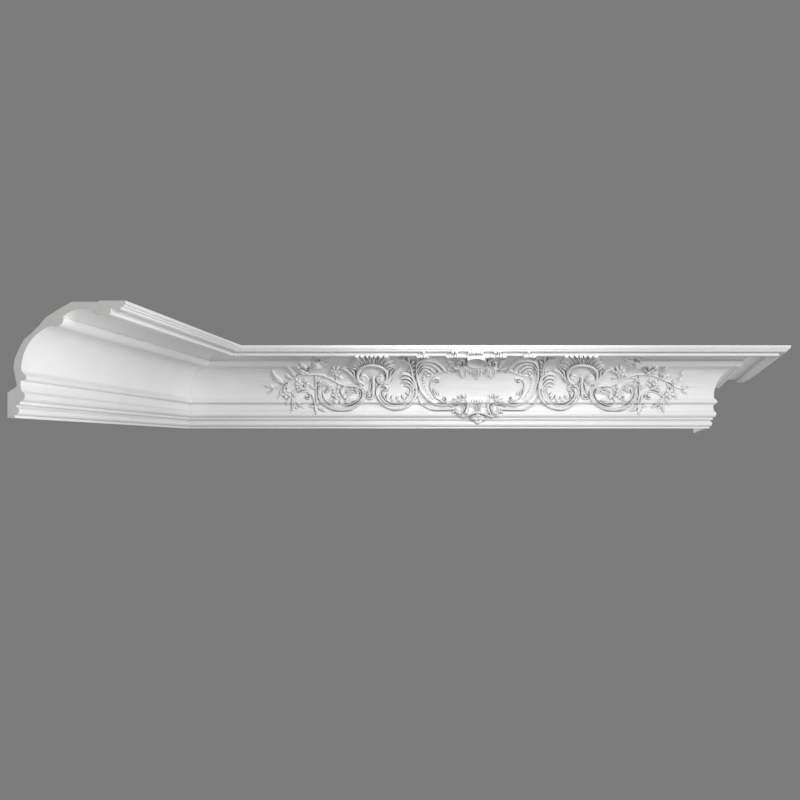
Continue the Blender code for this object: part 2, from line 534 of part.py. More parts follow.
def cartouche(r):
    """The middle cartouche: frame, plume, pearls, swelling field, drapery, boss, crest and palmette."""
    field = [(0, 123), (-60.5, 127.5), (-91, 119), (-103, 103.5), (-100.5, 84), (-89, 67), (-69, 56),
             (-38.5, 58), (0, 58.5), (38.5, 62), (40.5, 94.5), (38.5, 123)]
    body = [(0, 158.5), (-56, 152.5), (-104, 152), (-130.5, 148), (-134, 123), (-132.5, 97), (-125, 76.5),
            (-110.5, 59), (-91, 49), (-67, 48.5), (-43, 56), (0, 44.5), (40.5, 62), (40.5, 149.5)]
    r.plate(body, 6.0, 5)
    r.plate(field, 6.5, 8, crown=5.5)
    # frame line, its lower twin and the two inner scrolls
    r.stroke([(-128.5, 145), (-132.5, 135.5), (-133, 121), (-131.5, 105), (-127, 90.5), (-121, 77),
              (-111.5, 65.5), (-101, 57), (-89.5, 52), (-78, 50.5), (-64.5, 53.5), (-51.5, 58),
              (-39.5, 62.5)], 7, 12, taper=(0.9, 0.9), blend=0.3)
    r.stroke([(-130.5, 67.5), (-125, 55.5), (-116, 48), (-104, 42.5), (-89, 41), (-71.5, 41.5), (-56, 42.5),
              (-45, 46.5)], 6, 8, taper=(0.5, 1), blend=0.3)
    r.stroke([(-83, 109.5), (-92, 110.5), (-100.5, 105), (-103, 92.5), (-100, 79.5), (-92, 67.5), (-80, 59)],
             4.4, 13, taper=(1, 0.7), blend=0.3)
    for a in (-94.5, -89, -84):
        r.stroke([(a, 95.5), (a - 2, 84), (a + 1.5, 73)], 4.6, 10.8, taper=(0.5, 1), blend=0.5)
    r.spiral((-89.5, 104), 7.5, 150, 1.1, 3.8, 14, hand=-1)
    r.spiral((-73.5, 64), 7.8, 200, 1.1, 4, 14.5, hand=1)
    for base, tip in (((-41.5, 54), (-61.5, 62)), ((-39.5, 58.5), (-57, 70.5)), ((-35, 62.5), (-47, 77)),
                      ((-30.5, 66), (-36, 80.5))):
        r.leaf(base, tip, 7, 14, bend=0.1, vein=0.3)
    r.pearls([(-114.5, 120), (-118.5, 108), (-118, 95.5), (-114.5, 84.5), (-108, 74), (-99, 65)], 11, 3.2,
             1.7, 12.5)
    # plume: four flutes that sweep over from the frame, and the leaf tip that curls up under them
    for points, width, height in (
            ([(-132, 136.5), (-127, 145), (-115, 149.5), (-100.5, 149.5), (-87.5, 145.5), (-78, 138),
              (-70, 129)], 8.2, 16),
            ([(-130.5, 129), (-123.5, 140), (-111.5, 143), (-99, 141), (-89, 135), (-81.5, 126.5)], 7.8, 15),
            ([(-129.5, 123), (-122, 133.5), (-111, 136), (-101.5, 132), (-93, 124)], 6.8, 14),
            ([(-128.5, 118), (-121.5, 127), (-112.5, 129), (-104.5, 124.5), (-98.5, 119)], 6, 13),
            ([(-111.5, 116.5), (-100.5, 116.5), (-87.5, 122), (-75.5, 127.5), (-67, 128),
              (-63, 123)], 5.4, 13.6)):
        r.stroke(points, width, height, taper=(0.7, 0.9), blend=0.2)
    # leafy shoulder between plume and volute
    for base, tip in (((-50, 146), (-70, 150)), ((-50, 141), (-66.5, 143.5)), ((-50, 135.5), (-64, 138.5)),
                      ((-48.5, 130.5), (-69.5, 134)), ((-45, 130), (-57, 124.5))):
        r.leaf(base, tip, 8, 13.5, bend=0.14, vein=0.35, blend=0.2)
    r.spiral((-41.5, 141), 10, 200, 1.0, 5.4, 15.5, hand=1)
    r.stroke([(-34, 150.5), (-25, 147.5), (-20, 138.5), (-12, 133.5), (0, 131.5)], 6, 14.5, taper=(0.8, 1),
             blend=0.3)
    r.leaf((-32, 135), (-22, 144.5), 8, 14.5, bend=0.1, vein=0.3)
    # hanging drapery
    r.plate([(-49.5, 134), (-41.5, 124.5), (-39, 115.5), (-32, 109), (-23.5, 113), (-19.5, 115.5),
             (-13, 122.5), (-8.5, 113), (0, 105), (8.5, 113), (16.5, 136.5), (-25, 141)], 12.5, 3.5)
    for base, tip, width in (((-39.5, 132), (-34, 110), 9), ((-25.5, 132), (-28, 110), 9),
                             ((-17.5, 132), (-18, 116.5), 7), ((0, 134), (0, 104.5), 13),
                             ((-8.5, 133.5), (-5.5, 109), 7)):
        r.leaf(base, tip, width, 15.5, vein=0.35, bend=0.03, blend=0.2)
    r.spiral((-23.5, 128.5), 5.6, 90, 0.8, 3.4, 16, hand=-1)
    # boss over it: a bowl sunk in a rim
    r.dome((0, 147.5), (24, 13), 15, 0.35)
    r.sink((0, 147.5), (19, 9.4), 2.5)
    r.ring((0, 147.5), (20.5, 10.8), 3.8, 16.6, 90, 270, 0.3)
    # crest over the fillet: leaves fanned from the frame's corner, from over the volute and from the middle
    for base, tips, height in (
            ((-118.5, 147.5), ((-132, 155.5), (-125, 162), (-114.5, 165.5), (-105.5, 160.5)), 8),
            ((-48, 147.5), ((-68, 154.5), (-62.5, 162), (-52.5, 167), (-41, 166.5), (-32, 161.5)), 8.5),
            ((0, 150.5), ((-22, 157), (-17.5, 165.5), (-8.5, 169.5), (0, 172)), 9)):
        for tip in tips:
            lean = (tip[0] - base[0]) * 0.55
            start = (base[0] + lean, base[1])
            r.leaf(start, tip, 9.5, height, bend=lean / 90, vein=0.45, fat=1.1, blend=0.1)
    # bottom palmette and its side scrolls
    r.fan((0, 30), 6, 50, 62, 118, 5, 10)
    r.stroke([(-60.5, 50), (-47, 55.5), (-35.5, 53), (-30.5, 43.5), (-36, 34), (-46, 36), (-46, 42)], 7.5,
             11, "ribbed", taper=(0.6, 0.8), ribs=2)
    r.stroke([(-40.5, 74), (-29.5, 68.5), (-23, 59), (-22, 46.5), (-26.5, 34)], 6.5, 12, taper=(0.5, 1),
             blend=0.3)
    r.leaf((-25, 56), (-21.5, 81.5), 8, 12, bend=0.1, vein=0.3)
    r.leaf((-48.5, 45), (-57, 32), 8, 8, bend=0.1)
    r.leaf((-36, 35.5), (-43.5, 24.5), 7, 8, bend=-0.1)
    r.stroke([(-42, 30.5), (-32, 25), (-21, 28), (-10.5, 33), (0, 34.5)], 6, 9.6, taper=(0.5, 1))
    r.stroke([(-20, 22), (-10.5, 26), (0, 27)], 4, 7.5, taper=(0.6, 1))
    r.leaf((0, 28), (0, 8.5), 27, 9.5, bend=0, fat=0.62, vein=0.25)
    r.leaf((-3, 24), (-15, 17), 9, 8.5, bend=-0.12, vein=0.3, blend=0.2)


def relief_height(a, b):
    """Height of the relief, in millimetres, at each point of the face."""
    r = Relief(np.ravel(a), np.ravel(b))
    first_scroll(r)
    spray(r)
    second_scroll(r)
    shell_crest(r)
    cartouche(r)
    bead_end(r)
    return r.height.reshape(np.shape(a))


def outward(points):
    """The way the relief stands out at points of the section: level below, tipping to the draft above."""
    tip = np.clip((points[..., 1] - DRAFT_FROM) / (DRAFT_FULL - DRAFT_FROM), 0, 1) * DRAFT
    return np.stack([np.cos(tip), -np.sin(tip)], axis=-1)


def carved_face(x, cell):
    """The carved face at stations x along the wall: an array of (P, Q) by station and outline point."""
    front = np.array(front_outline(cell))
    field = field_outline(front)
    share = np.clip((BEAD_STOP - np.abs(x - MOTIF_MIDDLE)) / BEAD_TAPER, 0, 1)
    plain = front + (field - front) * (share * share * (3 - 2 * share))[:, None, None]
    out = outward(plain)
    raised = plain + TYPICAL_RELIEF * out
    scale = (EYE_DISTANCE - DRAWN_AT) / (EYE_DISTANCE - raised[..., 0])
    a = (x[:, None] - MOTIF_MIDDLE) * scale
    b = (raised[..., 1] - EYE_HEIGHT) * scale + EYE_HEIGHT
    third = cell / 3
    offsets = [(da, db) for da in (-third, 0, third) for db in (-third, 0, third)]
    height = sum(relief_height(a + da, b + db) for da, db in offsets) / len(offsets)
    height = height * np.clip((RELIEF_ENDS - plain[..., 0]) / RELIEF_FADE, 0, 1)
    face = np.minimum(plain + out * height[..., None], RELIEF_LIMIT)
    return np.where((height > 0)[..., None], face, plain)


def material(name, colour, roughness):
    finish = bpy.data.materials.new(name)
    finish.use_nodes = True
    shader = finish.node_tree.nodes["Principled BSDF"]
    shader.inputs["Base Color"].default_value = colour
    shader.inputs["Roughness"].default_value = roughness
    return finish


def add_length(bm, name, start, turn, collection, finish):
    """Puts a length in the scene by the foot of its wall, turned about the vertical."""
    bmesh.ops.recalc_face_normals(bm, faces=bm.faces)
    mesh = bpy.data.meshes.new(name)
    bm.to_mesh(mesh)
    bm.free()
    mesh.shade_smooth()
    mesh.set_sharp_from_angle(angle=SHARP)
    mesh.materials.append(finish)
    length = bpy.data.objects.new(name, mesh)
    length.location = world(*start)
    length.rotation_euler.z = turn
    collection.objects.link(length)
    return length


def plain_length(wall, cuts):
    """A section swept along its wall and cut by planes, each given by a place, a turn and an inset."""
    bm = bmesh.new()
    outline = front_outline(CELL) + back_outline()
    overrun = 1.2 * PROJECTION
    corners = [bm.verts.new((-overrun * MM, -p * MM, q * MM)) for p, q in outline]
    section = bm.faces.new(corners)
    swept = bmesh.ops.extrude_face_region(bm, geom=[section])["geom"]
    ends = [item for item in swept if isinstance(item, bmesh.types.BMVert)]
    bmesh.ops.translate(bm, verts=ends, vec=((wall + 2 * overrun) * MM, 0, 0))
    for place, turn, inset in cuts:
        normal = Vector((math.cos(turn), math.sin(turn), 0))
        co = Vector((place * MM, 0, 0)) - normal * inset * MM
        everything = bm.verts[:] + bm.edges[:] + bm.faces[:]
        cut = bmesh.ops.bisect_plane(bm, geom=everything, dist=WELD, plane_co=co, plane_no=normal,
                                     clear_outer=True)
        rim = [item for item in cut["geom_cut"] if isinstance(item, bmesh.types.BMEdge)]
        bmesh.ops.edgeloop_fill(bm, edges=rim)
    return bm


def carved_length():
    """The middle length: a sheet of cells wrapped round the section, with the relief raised on its face."""
    steps = round(2 * MOTIF_HALF / CELL)
    x = MOTIF_MIDDLE + np.linspace(-MOTIF_HALF, MOTIF_HALF, steps + 1)
    face = carved_face(x, CELL)
    back = np.broadcast_to(np.array(back_outline()), (len(x), len(back_outline()), 2))
    rings = np.concatenate([face, back], axis=1)
    plain = np.array(front_outline(CELL) + back_outline())
    inner = plain[:, 0] + MITRE_GAP / 2 * math.sqrt(2)
    outer = CENTRE_WALL + plain[:, 0] * math.tan(RETURN_TURN / 2) - MITRE_GAP / 2 / math.cos(RETURN_TURN / 2)
    along = np.vstack([inner, np.repeat(x[:, None], len(plain), axis=1), outer])
    rings = np.concatenate([plain[None], rings, plain[None]])
    bm = bmesh.new()
    columns, rows = len(rings) - 1, len(plain)
    bmesh.ops.create_grid(bm, x_segments=columns, y_segments=rows, size=1)
    for vert in bm.verts:
        i = round((vert.co.x + 1) / 2 * columns)
        j = round((vert.co.y + 1) / 2 * rows) % rows
        vert.co = (along[i, j] * MM, -rings[i, j, 0] * MM, rings[i, j, 1] * MM)
    bmesh.ops.remove_doubles(bm, verts=bm.verts, dist=WELD)
    bmesh.ops.holes_fill(bm, edges=[edge for edge in bm.edges if edge.is_boundary], sides=0)
    bmesh.ops.triangulate(bm, faces=bm.faces)
    return bm


def build():
    for thing in list(bpy.data.objects):
        bpy.data.objects.remove(thing)
    cornice = bpy.data.collections.new("cornice_moulding")
    bpy.context.scene.collection.children.link(cornice)
    finish = material("white_moulding", WHITE, ROUGHNESS)
    half_gap = MITRE_GAP / 2
    square, inside_mitre = math.pi, -math.pi / 4
    left = plain_length(LEFT_WALL, ((0.0, square, 0.0), (LEFT_WALL, inside_mitre, half_gap)))
    add_length(left, "left_length", (0.0, -LEFT_WALL, 0.0), math.pi / 2, cornice, finish)
    centre = add_length(carved_length(), "centre_length", (0.0, 0.0, 0.0), 0.0, cornice, finish)
    fewer = centre.modifiers.new("fewer_triangles", "DECIMATE")
    fewer.ratio = CARVED_TRIANGLES / len(centre.data.polygons)
    outside_mitre, far_wall = math.pi - RETURN_TURN / 2, math.pi / 2 - RETURN_TURN
    run = RETURN_DEPTH / RUN[1]
    back = plain_length(run, ((0.0, outside_mitre, half_gap), (run, far_wall, 0.0)))
    add_length(back, "return_length", (CENTRE_WALL, 0.0, 0.0), RETURN_TURN, cornice, finish)


build()
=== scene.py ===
"""Looks of the moulded cornice: three mitred lengths of satin-white cast moulding, the middle one with a
rococo relief in its cove. Each stands in its solid's place as a finer copy of the same section.

The middle wall lies along X and its room is toward -Y. P is how far a point of the section stands out from
its wall and Q how high it is above the foot, both in millimetres; everything placed in the scene is in
metres."""

import math

import bmesh
import bpy
import numpy as np
from mathutils import Matrix, Vector


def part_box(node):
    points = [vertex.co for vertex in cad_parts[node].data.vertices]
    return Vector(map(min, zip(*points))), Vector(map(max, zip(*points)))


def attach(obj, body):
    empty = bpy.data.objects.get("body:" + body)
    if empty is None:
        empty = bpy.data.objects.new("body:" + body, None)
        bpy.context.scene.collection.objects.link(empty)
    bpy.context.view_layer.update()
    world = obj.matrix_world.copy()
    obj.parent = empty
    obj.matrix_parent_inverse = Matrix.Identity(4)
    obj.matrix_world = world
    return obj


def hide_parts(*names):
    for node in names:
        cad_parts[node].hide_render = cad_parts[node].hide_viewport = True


MM = 0.001

# driving sizes, in millimetres
PROJECTION = 170.0
HEIGHT = 168.8
LEFT_WALL = 835.0
CENTRE_WALL = 1159.0
RETURN_DEPTH = 751.0
RETURN_TURN = math.radians(81.8)
HALF_GAP = 0.15

# the seats that are glued to the wall and the ceiling, and the land between seat and hollow
WALL_SEAT = 36.4
CEILING_SEAT = 38.5
LAND = 1.7

# the great cove, a quarter of an ellipse that stops short of its top, and the beads on either side of it
COVE_FACE = 19.8
COVE_FOOT = 69.5
COVE_DEPTH = 60.0
COVE_RISE = 65.5
COVE_STOP = math.radians(75.7)
COVE_TOP = (64.6, 133.0)
COVE_GIRTH = 104.0

# the lower bead: a round nose over a flat underside, flaring up into the cove's foot
NOSE = (22.6, 58.6)
NOSE_RADIUS = 4.5
NOSE_TURN = math.radians(50)

# the carved zone: the motif's middle and half length, and where the upper bead stops for it. There the cove
# runs on from one point of the section to another, along a curve that leaves and comes in by these reaches
MOTIF_MIDDLE = 655.0
MOTIF_HALF = 478.0
BEAD_STOP = 343.0
BEAD_TAPER = 7.0
SMOOTH_FROM = (34.0, 110.6)
SMOOTH_TO = (127.4, 154.2)
SMOOTH_LEAVES = (21.5, 27.7)
SMOOTH_COMES = (45.0, 5.0)

# the relief is drawn as seen from the room, at this distance from the wall, and near the top it stands out
# along DRAFT
EYE_DISTANCE = 2360.0
EYE_HEIGHT = -42.8
DRAWN_AT = 35.0
DRAFT = math.radians(40.0)
DRAFT_FROM = 60.0
DRAFT_FULL = 135.0
TYPICAL_RELIEF = 7.0

# the relief fades out behind the fascia, and keeps inside the moulding's own front and top
RELIEF_ENDS = 166.0
RELIEF_FADE = 2.0
RELIEF_LIMIT = (169.5, 168.3)

# the meshes: the relief's cells, its triangles after thinning, the plain lengths' spacing and their arrises
RELIEF_CELL = 1.0
RELIEF_TRIANGLES = 192000
SWEEP_SPACING = 1.6
SWEEP_STATION = 70.0
SHARP = math.radians(28)

# the finishes, by their material slots: darkest and lightest tones, gloss, and the fineness of their grain
PAINTED, BARE = 0, 1
PAINT_DARK, PAINT_LIGHT = (0.80, 0.80, 0.795, 1), (0.84, 0.84, 0.838, 1)
PAINT_IOR = 1.46
PAINT_ROUGHNESS = (0.5, 0.6)
MOTTLE_SCALE = 9.0
PIT_SCALE = 420.0
FOAM_DARK, FOAM_LIGHT = (0.52, 0.52, 0.51, 1), (0.62, 0.62, 0.61, 1)
FOAM_ROUGHNESS = 0.85
CELL_SCALE = 700.0

# painted shade darkens the creases: how near their sides stand, in metres, the shares of openness between
# which the shade changes, and what the paint is multiplied by in a crease and in the open
CREASE_REACH = 0.0032
CREASE_RANGE = (0.4, 0.85)
PAINTED_CREASE_SHADE, OPEN_TONE = (0.3, 0.3, 0.3, 1), (1, 1, 1, 1)

# how deep the pits of the paint and the cells of the foam are, in metres
PIT_DEPTH = 0.0002

# the floor: metres under the moulding's foot and out from its middle, its tone and a glow that evens it
FLOOR_BELOW = 4.5
FLOOR_HALF = 10
FLOOR_TONE = (0.7, 0.7, 0.68, 1)
FLOOR_ROUGHNESS = 0.8
FLOOR_GLOW, GLOW_STRENGTH = (1, 1, 0.98, 1), 0.3

# the even grey all round, and the softboxes: place, side, watts, what each is turned to, spread in degrees
BACKDROP = (0.2, 0.2, 0.2, 1)
SOFTBOXES = {
    "key": ((1.6, -2.2, 0.5), 0.5, 36, (0.0, 0.1, 0.1), 180),
    "front": ((-0.07, -0.45, 0.3), 0.35, 1.2, (-0.07, 0.75, 0.1), 140),
    "left_run": ((0.3, -1.3, -0.5), 0.4, 0.9, (-0.72, -0.8, 0.08), 65),
    "bounce": ((0.9, -1.4, -1.0), 1.5, 3.5, (-0.2, 0.3, 0.1), 180),
    "fill": ((-1.0, -3.6, 0.4), 1.5, 10, (-0.5, 0.0, 0.1), 180),
    "side": ((1.8, 0.2, -0.8), 0.8, 8, (0.6, 1.0, 0.1), 180),
    "back": ((-1.6, 2.2, 0.9), 1.2, 60, (0.0, 0.0, 0.1), 180),
}

# the camera, in millimetres from the inside corner of the walls at the moulding's foot
CAMERA_AT = (717.2, -EYE_DISTANCE, EYE_HEIGHT)
LENS = 47.7
SHIFT = (-0.1325, 0.0596)


def spread(start, end, spacing):
    """How many equal steps of about this spacing a stretch takes."""
    return max(1, round(math.dist(start, end) / spacing))


def straight(start, end, spacing):
    """A straight stretch of points, its end left out, as in all these stretches."""
    steps = spread(start, end, spacing)
    return [(start[0] + (end[0] - start[0]) * i / steps, start[1] + (end[1] - start[1]) * i / steps)
            for i in range(steps)]


def roll(start, end, depth, spacing, fewest=6):
    """Half an ellipse from start to end, bulging to the right of that way, or hollow if depth is minus."""
    along = ((end[0] - start[0]) / 2, (end[1] - start[1]) / 2)
    half = math.hypot(*along)
    out = (along[1] / half * depth, -along[0] / half * depth)
    steps = max(fewest, round((2 * half + 1.1 * abs(depth)) / spacing))
    middle = ((start[0] + end[0]) / 2, (start[1] + end[1]) / 2)
    points = []
    for i in range(steps):
        turn = math.pi * i / steps
        points.append((middle[0] - along[0] * math.cos(turn) + out[0] * math.sin(turn),
                       middle[1] - along[1] * math.cos(turn) + out[1] * math.sin(turn)))
    return points


def bow(start, end, sag, spacing):
    """A shallow curve from start to end that swells by sag to the right of that direction."""
    length = math.dist(start, end)
    out = ((end[1] - start[1]) / length * sag, -(end[0] - start[0]) / length * sag)
    steps = spread(start, end, spacing)
    points = []
    for i in range(steps):
        t = i / steps
        swell = 4 * t * (1 - t)
        points.append((start[0] + (end[0] - start[0]) * t + out[0] * swell,
                       start[1] + (end[1] - start[1]) * t + out[1] * swell))
    return points


def arc(centre, radius, first, last, spacing):
    """A round stretch about centre, from the angle first to the angle last."""
    steps = max(4, round(radius * abs(last - first) / spacing))
    turns = [first + (last - first) * i / steps for i in range(steps)]
    return [(centre[0] + radius * math.cos(turn), centre[1] + radius * math.sin(turn)) for turn in turns]


def flare(start, bend, end, spacing):
    """A hollow curve that leaves start toward bend and comes to end from there."""
    steps = spread(start, end, spacing)
    points = []
    for i in range(steps):
        t = i / steps
        shares = ((1 - t) ** 2, 2 * t * (1 - t), t * t)
        points.append(tuple(np.dot(shares, axis) for axis in zip(start, bend, end)))
    return points


def cove(spacing):
    """The great cove, from its foot up to the quirk under the upper bead."""
    steps = round(COVE_GIRTH / spacing)
    points = []
    for i in range(steps):
        turn = COVE_STOP * i / steps
        points.append((COVE_FACE + COVE_DEPTH * (1 - math.cos(turn)),
                       COVE_FOOT + COVE_RISE * math.sin(turn)))
    return points


def front_outline(spacing):
    """The face of the section from the foot of the wall seat up to the ceiling."""
    foot = [(10.5, 0.0), (10.5, 4.2)]
    ovolo = roll((12.6, 4.8), (13.0, 15.2), 3.6, spacing)
    quirk = [(13.0, 15.2), (12.4, 16.2), (12.4, 18.6), (17.8, 19.6), (18.0, 23.8)]
    torus = roll((19.8, 24.8), (20.6, 37.8), 4.7, spacing)
    scotia = bow((20.6, 37.8), (19.0, 53.2), -1.0, spacing)
    nose = arc(NOSE, NOSE_RADIUS, -math.pi / 2, NOSE_TURN, spacing)
    brow = (NOSE[0] + NOSE_RADIUS * math.cos(NOSE_TURN), NOSE[1] + NOSE_RADIUS * math.sin(NOSE_TURN))
    meets = (COVE_FACE, brow[1] + (brow[0] - COVE_FACE) / math.tan(NOSE_TURN))
    lower_bead = [(19.0, 53.2), (19.6, 54.1)] + nose + flare(brow, meets, (COVE_FACE, COVE_FOOT), spacing)
    upper_bead = roll(COVE_TOP, (79.6, 145.4), 6.6, spacing)
    soffit = [(79.6, 145.4)] + bow((80.2, 146.4), (126.5, 154.4), -6.5, spacing) + [(126.5, 154.4)]
    fillet = [(127.4, 154.2), (128.2, 149.3)] + straight((130.0, 148.8), (146.6, 148.6), spacing)
    fillet += [(146.6, 148.6), (148.2, 149.6)] + straight((148.3, 151.0), (148.4, 157.0), spacing)
    fillet += [(148.4, 157.0), (150.2, 158.6)]
    bead = roll((152.4, 157.8), (163.6, 158.8), 2.8, spacing)
    fascia = [(163.6, 158.8), (164.6, 160.2), (167.2, 160.6), (167.6, 163.2), (PROJECTION, 163.8),
              (PROJECTION, HEIGHT)]
    return (foot + ovolo + quirk + torus + scotia + lower_bead + cove(spacing) + upper_bead + soffit + fillet
            + bead + fascia)


def back_outline():
    """The ceiling seat, the hollow back and the wall seat, from the ceiling down."""
    seat_edge = PROJECTION - CEILING_SEAT
    top = [(seat_edge, HEIGHT), (seat_edge, HEIGHT - LAND), (92.5, HEIGHT - LAND), (75.5, 157.8)]
    hollow = bow((54.6, 144.2), (23.7, 113.0), -1.5, 16)
    hollow += [(23.7, 113.0), (15.4, 97.0), (10.1, 83.4), (8.5, 72.3)]
    seat = [(10.6, 62.0), (12.8, 51.0), (13.4, 47.0), (12.0, 44.2), (0.0, WALL_SEAT), (0.0, 0.0)]
    return top + hollow + seat


def smooth_field(share):
    """The section where the upper bead is left out: the cove runs on up into the soffit."""
    start, end = SMOOTH_FROM, SMOOTH_TO
    first = (start[0] + SMOOTH_LEAVES[0], start[1] + SMOOTH_LEAVES[1])
    second = (end[0] - SMOOTH_COMES[0], end[1] - SMOOTH_COMES[1])
    t = share[:, None]
    return ((1 - t) ** 3 * np.array(start) + 3 * t * (1 - t) ** 2 * np.array(first)
            + 3 * t**2 * (1 - t) * np.array(second) + t**3 * np.array(end))


def field_outline(front):
    """The front outline with its stretch from the upper cove to the fillet on the smooth field."""
    front = np.array(front)
    lies = (front[:, 1] > SMOOTH_FROM[1]) & (front[:, 0] > SMOOTH_FROM[0]) & (front[:, 0] < SMOOTH_TO[0])
    inside = np.nonzero(lies)[0]
    first, last = inside[0] - 1, inside[-1] + 1
    run = np.concatenate([[0], np.cumsum(np.hypot(*np.diff(front[first:last + 1], axis=0).T))])
    field = front.copy()
    field[first:last + 1] = smooth_field(run / run[-1])
    return field


def smooth_curve(points, steps=7, closed=False):
    """Points along a Catmull-Rom curve through the given ones."""
    pts = np.asarray(points, float)
    if len(pts) == 2:
        t = np.linspace(0, 1, steps + 1)[:, None]
        return pts[0] + (pts[1] - pts[0]) * t
    if closed:
        ring = np.vstack([pts[-1], pts, pts[0], pts[1]])
    else:
        ring = np.vstack([2 * pts[0] - pts[1], pts, 2 * pts[-1] - pts[-2]])
    t = np.arange(steps)[:, None] / steps
    out = []
    for q0, q1, q2, q3 in zip(ring[:-3], ring[1:-2], ring[2:-1], ring[3:]):
        out.append(0.5 * (2 * q1 + (q2 - q0) * t + (2 * q0 - 5 * q1 + 4 * q2 - q3) * t**2
                          + (3 * q1 - q0 - 3 * q2 + q3) * t**3))
    out = np.vstack(out)
    return out if closed else np.vstack([out, pts[-1]])


class Relief:
    """A height over the plane of the face, built up form by form."""

    def __init__(self, a, b):
        self.a = -np.abs(a)
        self.b = b
        self.height = np.zeros_like(self.a)

    def near(self, low, high):
        """The points in a box, by index."""
        return np.nonzero((self.a > low[0]) & (self.a < high[0]) & (self.b > low[1]) & (self.b < high[1]))[0]

    def lay(self, index, height, blend=0.7):
        """Lays a form over what is there, with a small fillet where the two meet."""
        there = self.height[index]
        gap = np.abs(there - height)
        merged = np.maximum(there, height) + np.maximum(blend - gap, 0) ** 2 / (4 * blend)
        self.height[index] = np.where(height > 0, merged, there)

    def along(self, line, reach):
        """For the points within reach of a line: their index, distance, share of its length and side."""
        index = self.near(line.min(0) - reach, line.max(0) + reach)
        a, b = self.a[index], self.b[index]
        lengths = np.hypot(*np.diff(line, axis=0).T)
        run = np.concatenate([[0], np.cumsum(lengths)])
        best = np.full(len(index), 1e9)
        share = np.zeros(len(index))
        side = np.zeros(len(index))
        for (x0, y0), (x1, y1), length, start in zip(line[:-1], line[1:], lengths, run[:-1]):
            if length < 1e-9:
                continue
            ux, uy = (x1 - x0) / length, (y1 - y0) / length
            along = np.clip((a - x0) * ux + (b - y0) * uy, 0, length)
            dx, dy = a - x0 - along * ux, b - y0 - along * uy
            distance = np.hypot(dx, dy)
            closer = distance < best
            best = np.where(closer, distance, best)
            share = np.where(closer, (start + along) / run[-1], share)
            side = np.where(closer, np.sign(ux * dy - uy * dx), side)
        return index, best, share, side

    def stroke(self, points, width, height, section="round", taper=(1, 1), blend=0.7, smooth=True, ribs=3):
        """A moulded rib along a line. taper is its share of the width at the start and the end."""
        line = smooth_curve(points) if smooth else np.asarray(points, float)
        index, distance, share, side = self.along(line, width)
        half = width / 2 * (taper[0] + (taper[1] - taper[0]) * share)
        r = np.clip(distance / np.maximum(half, 1e-6), 0, 1)
        scale = 0.55 + 0.45 * half / (width / 2)
        if section == "round":
            form = np.sqrt(1 - r**2)
        elif section == "ribbed":
            rib = np.abs(np.sin(np.pi * ribs * (r * side + 1) / 2))
            form = np.clip((1 - r) / 0.14, 0, 1) ** 0.5 * (0.72 + 0.28 * rib**0.8)
        else:
            form = np.clip((1 - r) / 0.35, 0, 1) ** 0.5
        self.lay(index, np.where(distance < half, height * scale * form, 0), blend)

    def leaf(self, base, tip, width, height, bend=0.15, lobes=0, blend=0.5, vein=0.4, fat=0.8):
        """A leaf from base to tip, bent sideways by a share of its length, with cut edges and a vein."""
        base, tip = np.asarray(base, float), np.asarray(tip, float)
        length = np.hypot(*(tip - base))
        across = np.array([-(tip - base)[1], (tip - base)[0]]) / length
        t = np.linspace(0, 1, 13)[:, None]
        middle = (base + tip) / 2 + across * bend * length * 2
        line = (1 - t) ** 2 * base + 2 * t * (1 - t) * middle + t**2 * tip
        index, distance, share, _ = self.along(line, width)
        half = width / 2 * np.sin(np.pi * np.clip(share, 0.02, 1) ** fat) ** 0.75
        if lobes:
            half = half * (0.72 + 0.28 * np.abs(np.sin(np.pi * lobes * share)) ** 0.6)
        half = np.maximum(half, 0.12 * width * (1 - share))
        r = np.clip(distance / np.maximum(half, 1e-6), 0, 1)
        form = (1 - r**2) ** 0.5 * (1 - vein * np.exp(-((r / 0.2) ** 2)))
        if lobes:
            form = form * (0.8 + 0.2 * np.abs(np.sin(np.pi * lobes * (share + 0.12 * r))))
        fade = np.clip((1 - share) * 3, 0.25, 1) ** 0.5
        self.lay(index, np.where(distance < half, height * form * fade, 0), blend)

    def within(self, centre, radii):
        """The points in an ellipse's box: their index and how far out they lie, 1 on the ellipse itself."""
        index = self.near(np.subtract(centre, radii), np.add(centre, radii))
        x, y = self.a[index] - centre[0], self.b[index] - centre[1]
        return index, np.hypot(x / radii[0], y / radii[1])

    def dome(self, centre, radii, height, power=0.5, blend=0.7):
        """A rounded boss on an ellipse."""
        index, rho = self.within(centre, radii)
        form = np.clip(1 - rho**2, 0, 1) ** power
        self.lay(index, np.where(rho < 1, height * form, 0), blend)

    def sink(self, centre, radii, depth_to):
        """Hollows an ellipse down to a given height."""
        index, rho = self.within(centre, radii)
        wall = np.clip((rho - 0.72) / 0.28, 0, 1) ** 2
        there = self.height[index]
        sunk = np.minimum(there, depth_to + (there - depth_to) * wall)
        self.height[index] = np.where(rho < 1, sunk, there)

    def ring(self, centre, radii, width, height, start, end, blend):
        """A rib along an elliptical arc, from one angle to the other in degrees."""
        turns = np.radians(np.linspace(start, end, 25))
        line = np.column_stack([centre[0] + radii[0] * np.cos(turns), centre[1] + radii[1] * np.sin(turns)])
        self.stroke(line, width, height, blend=blend, smooth=False)

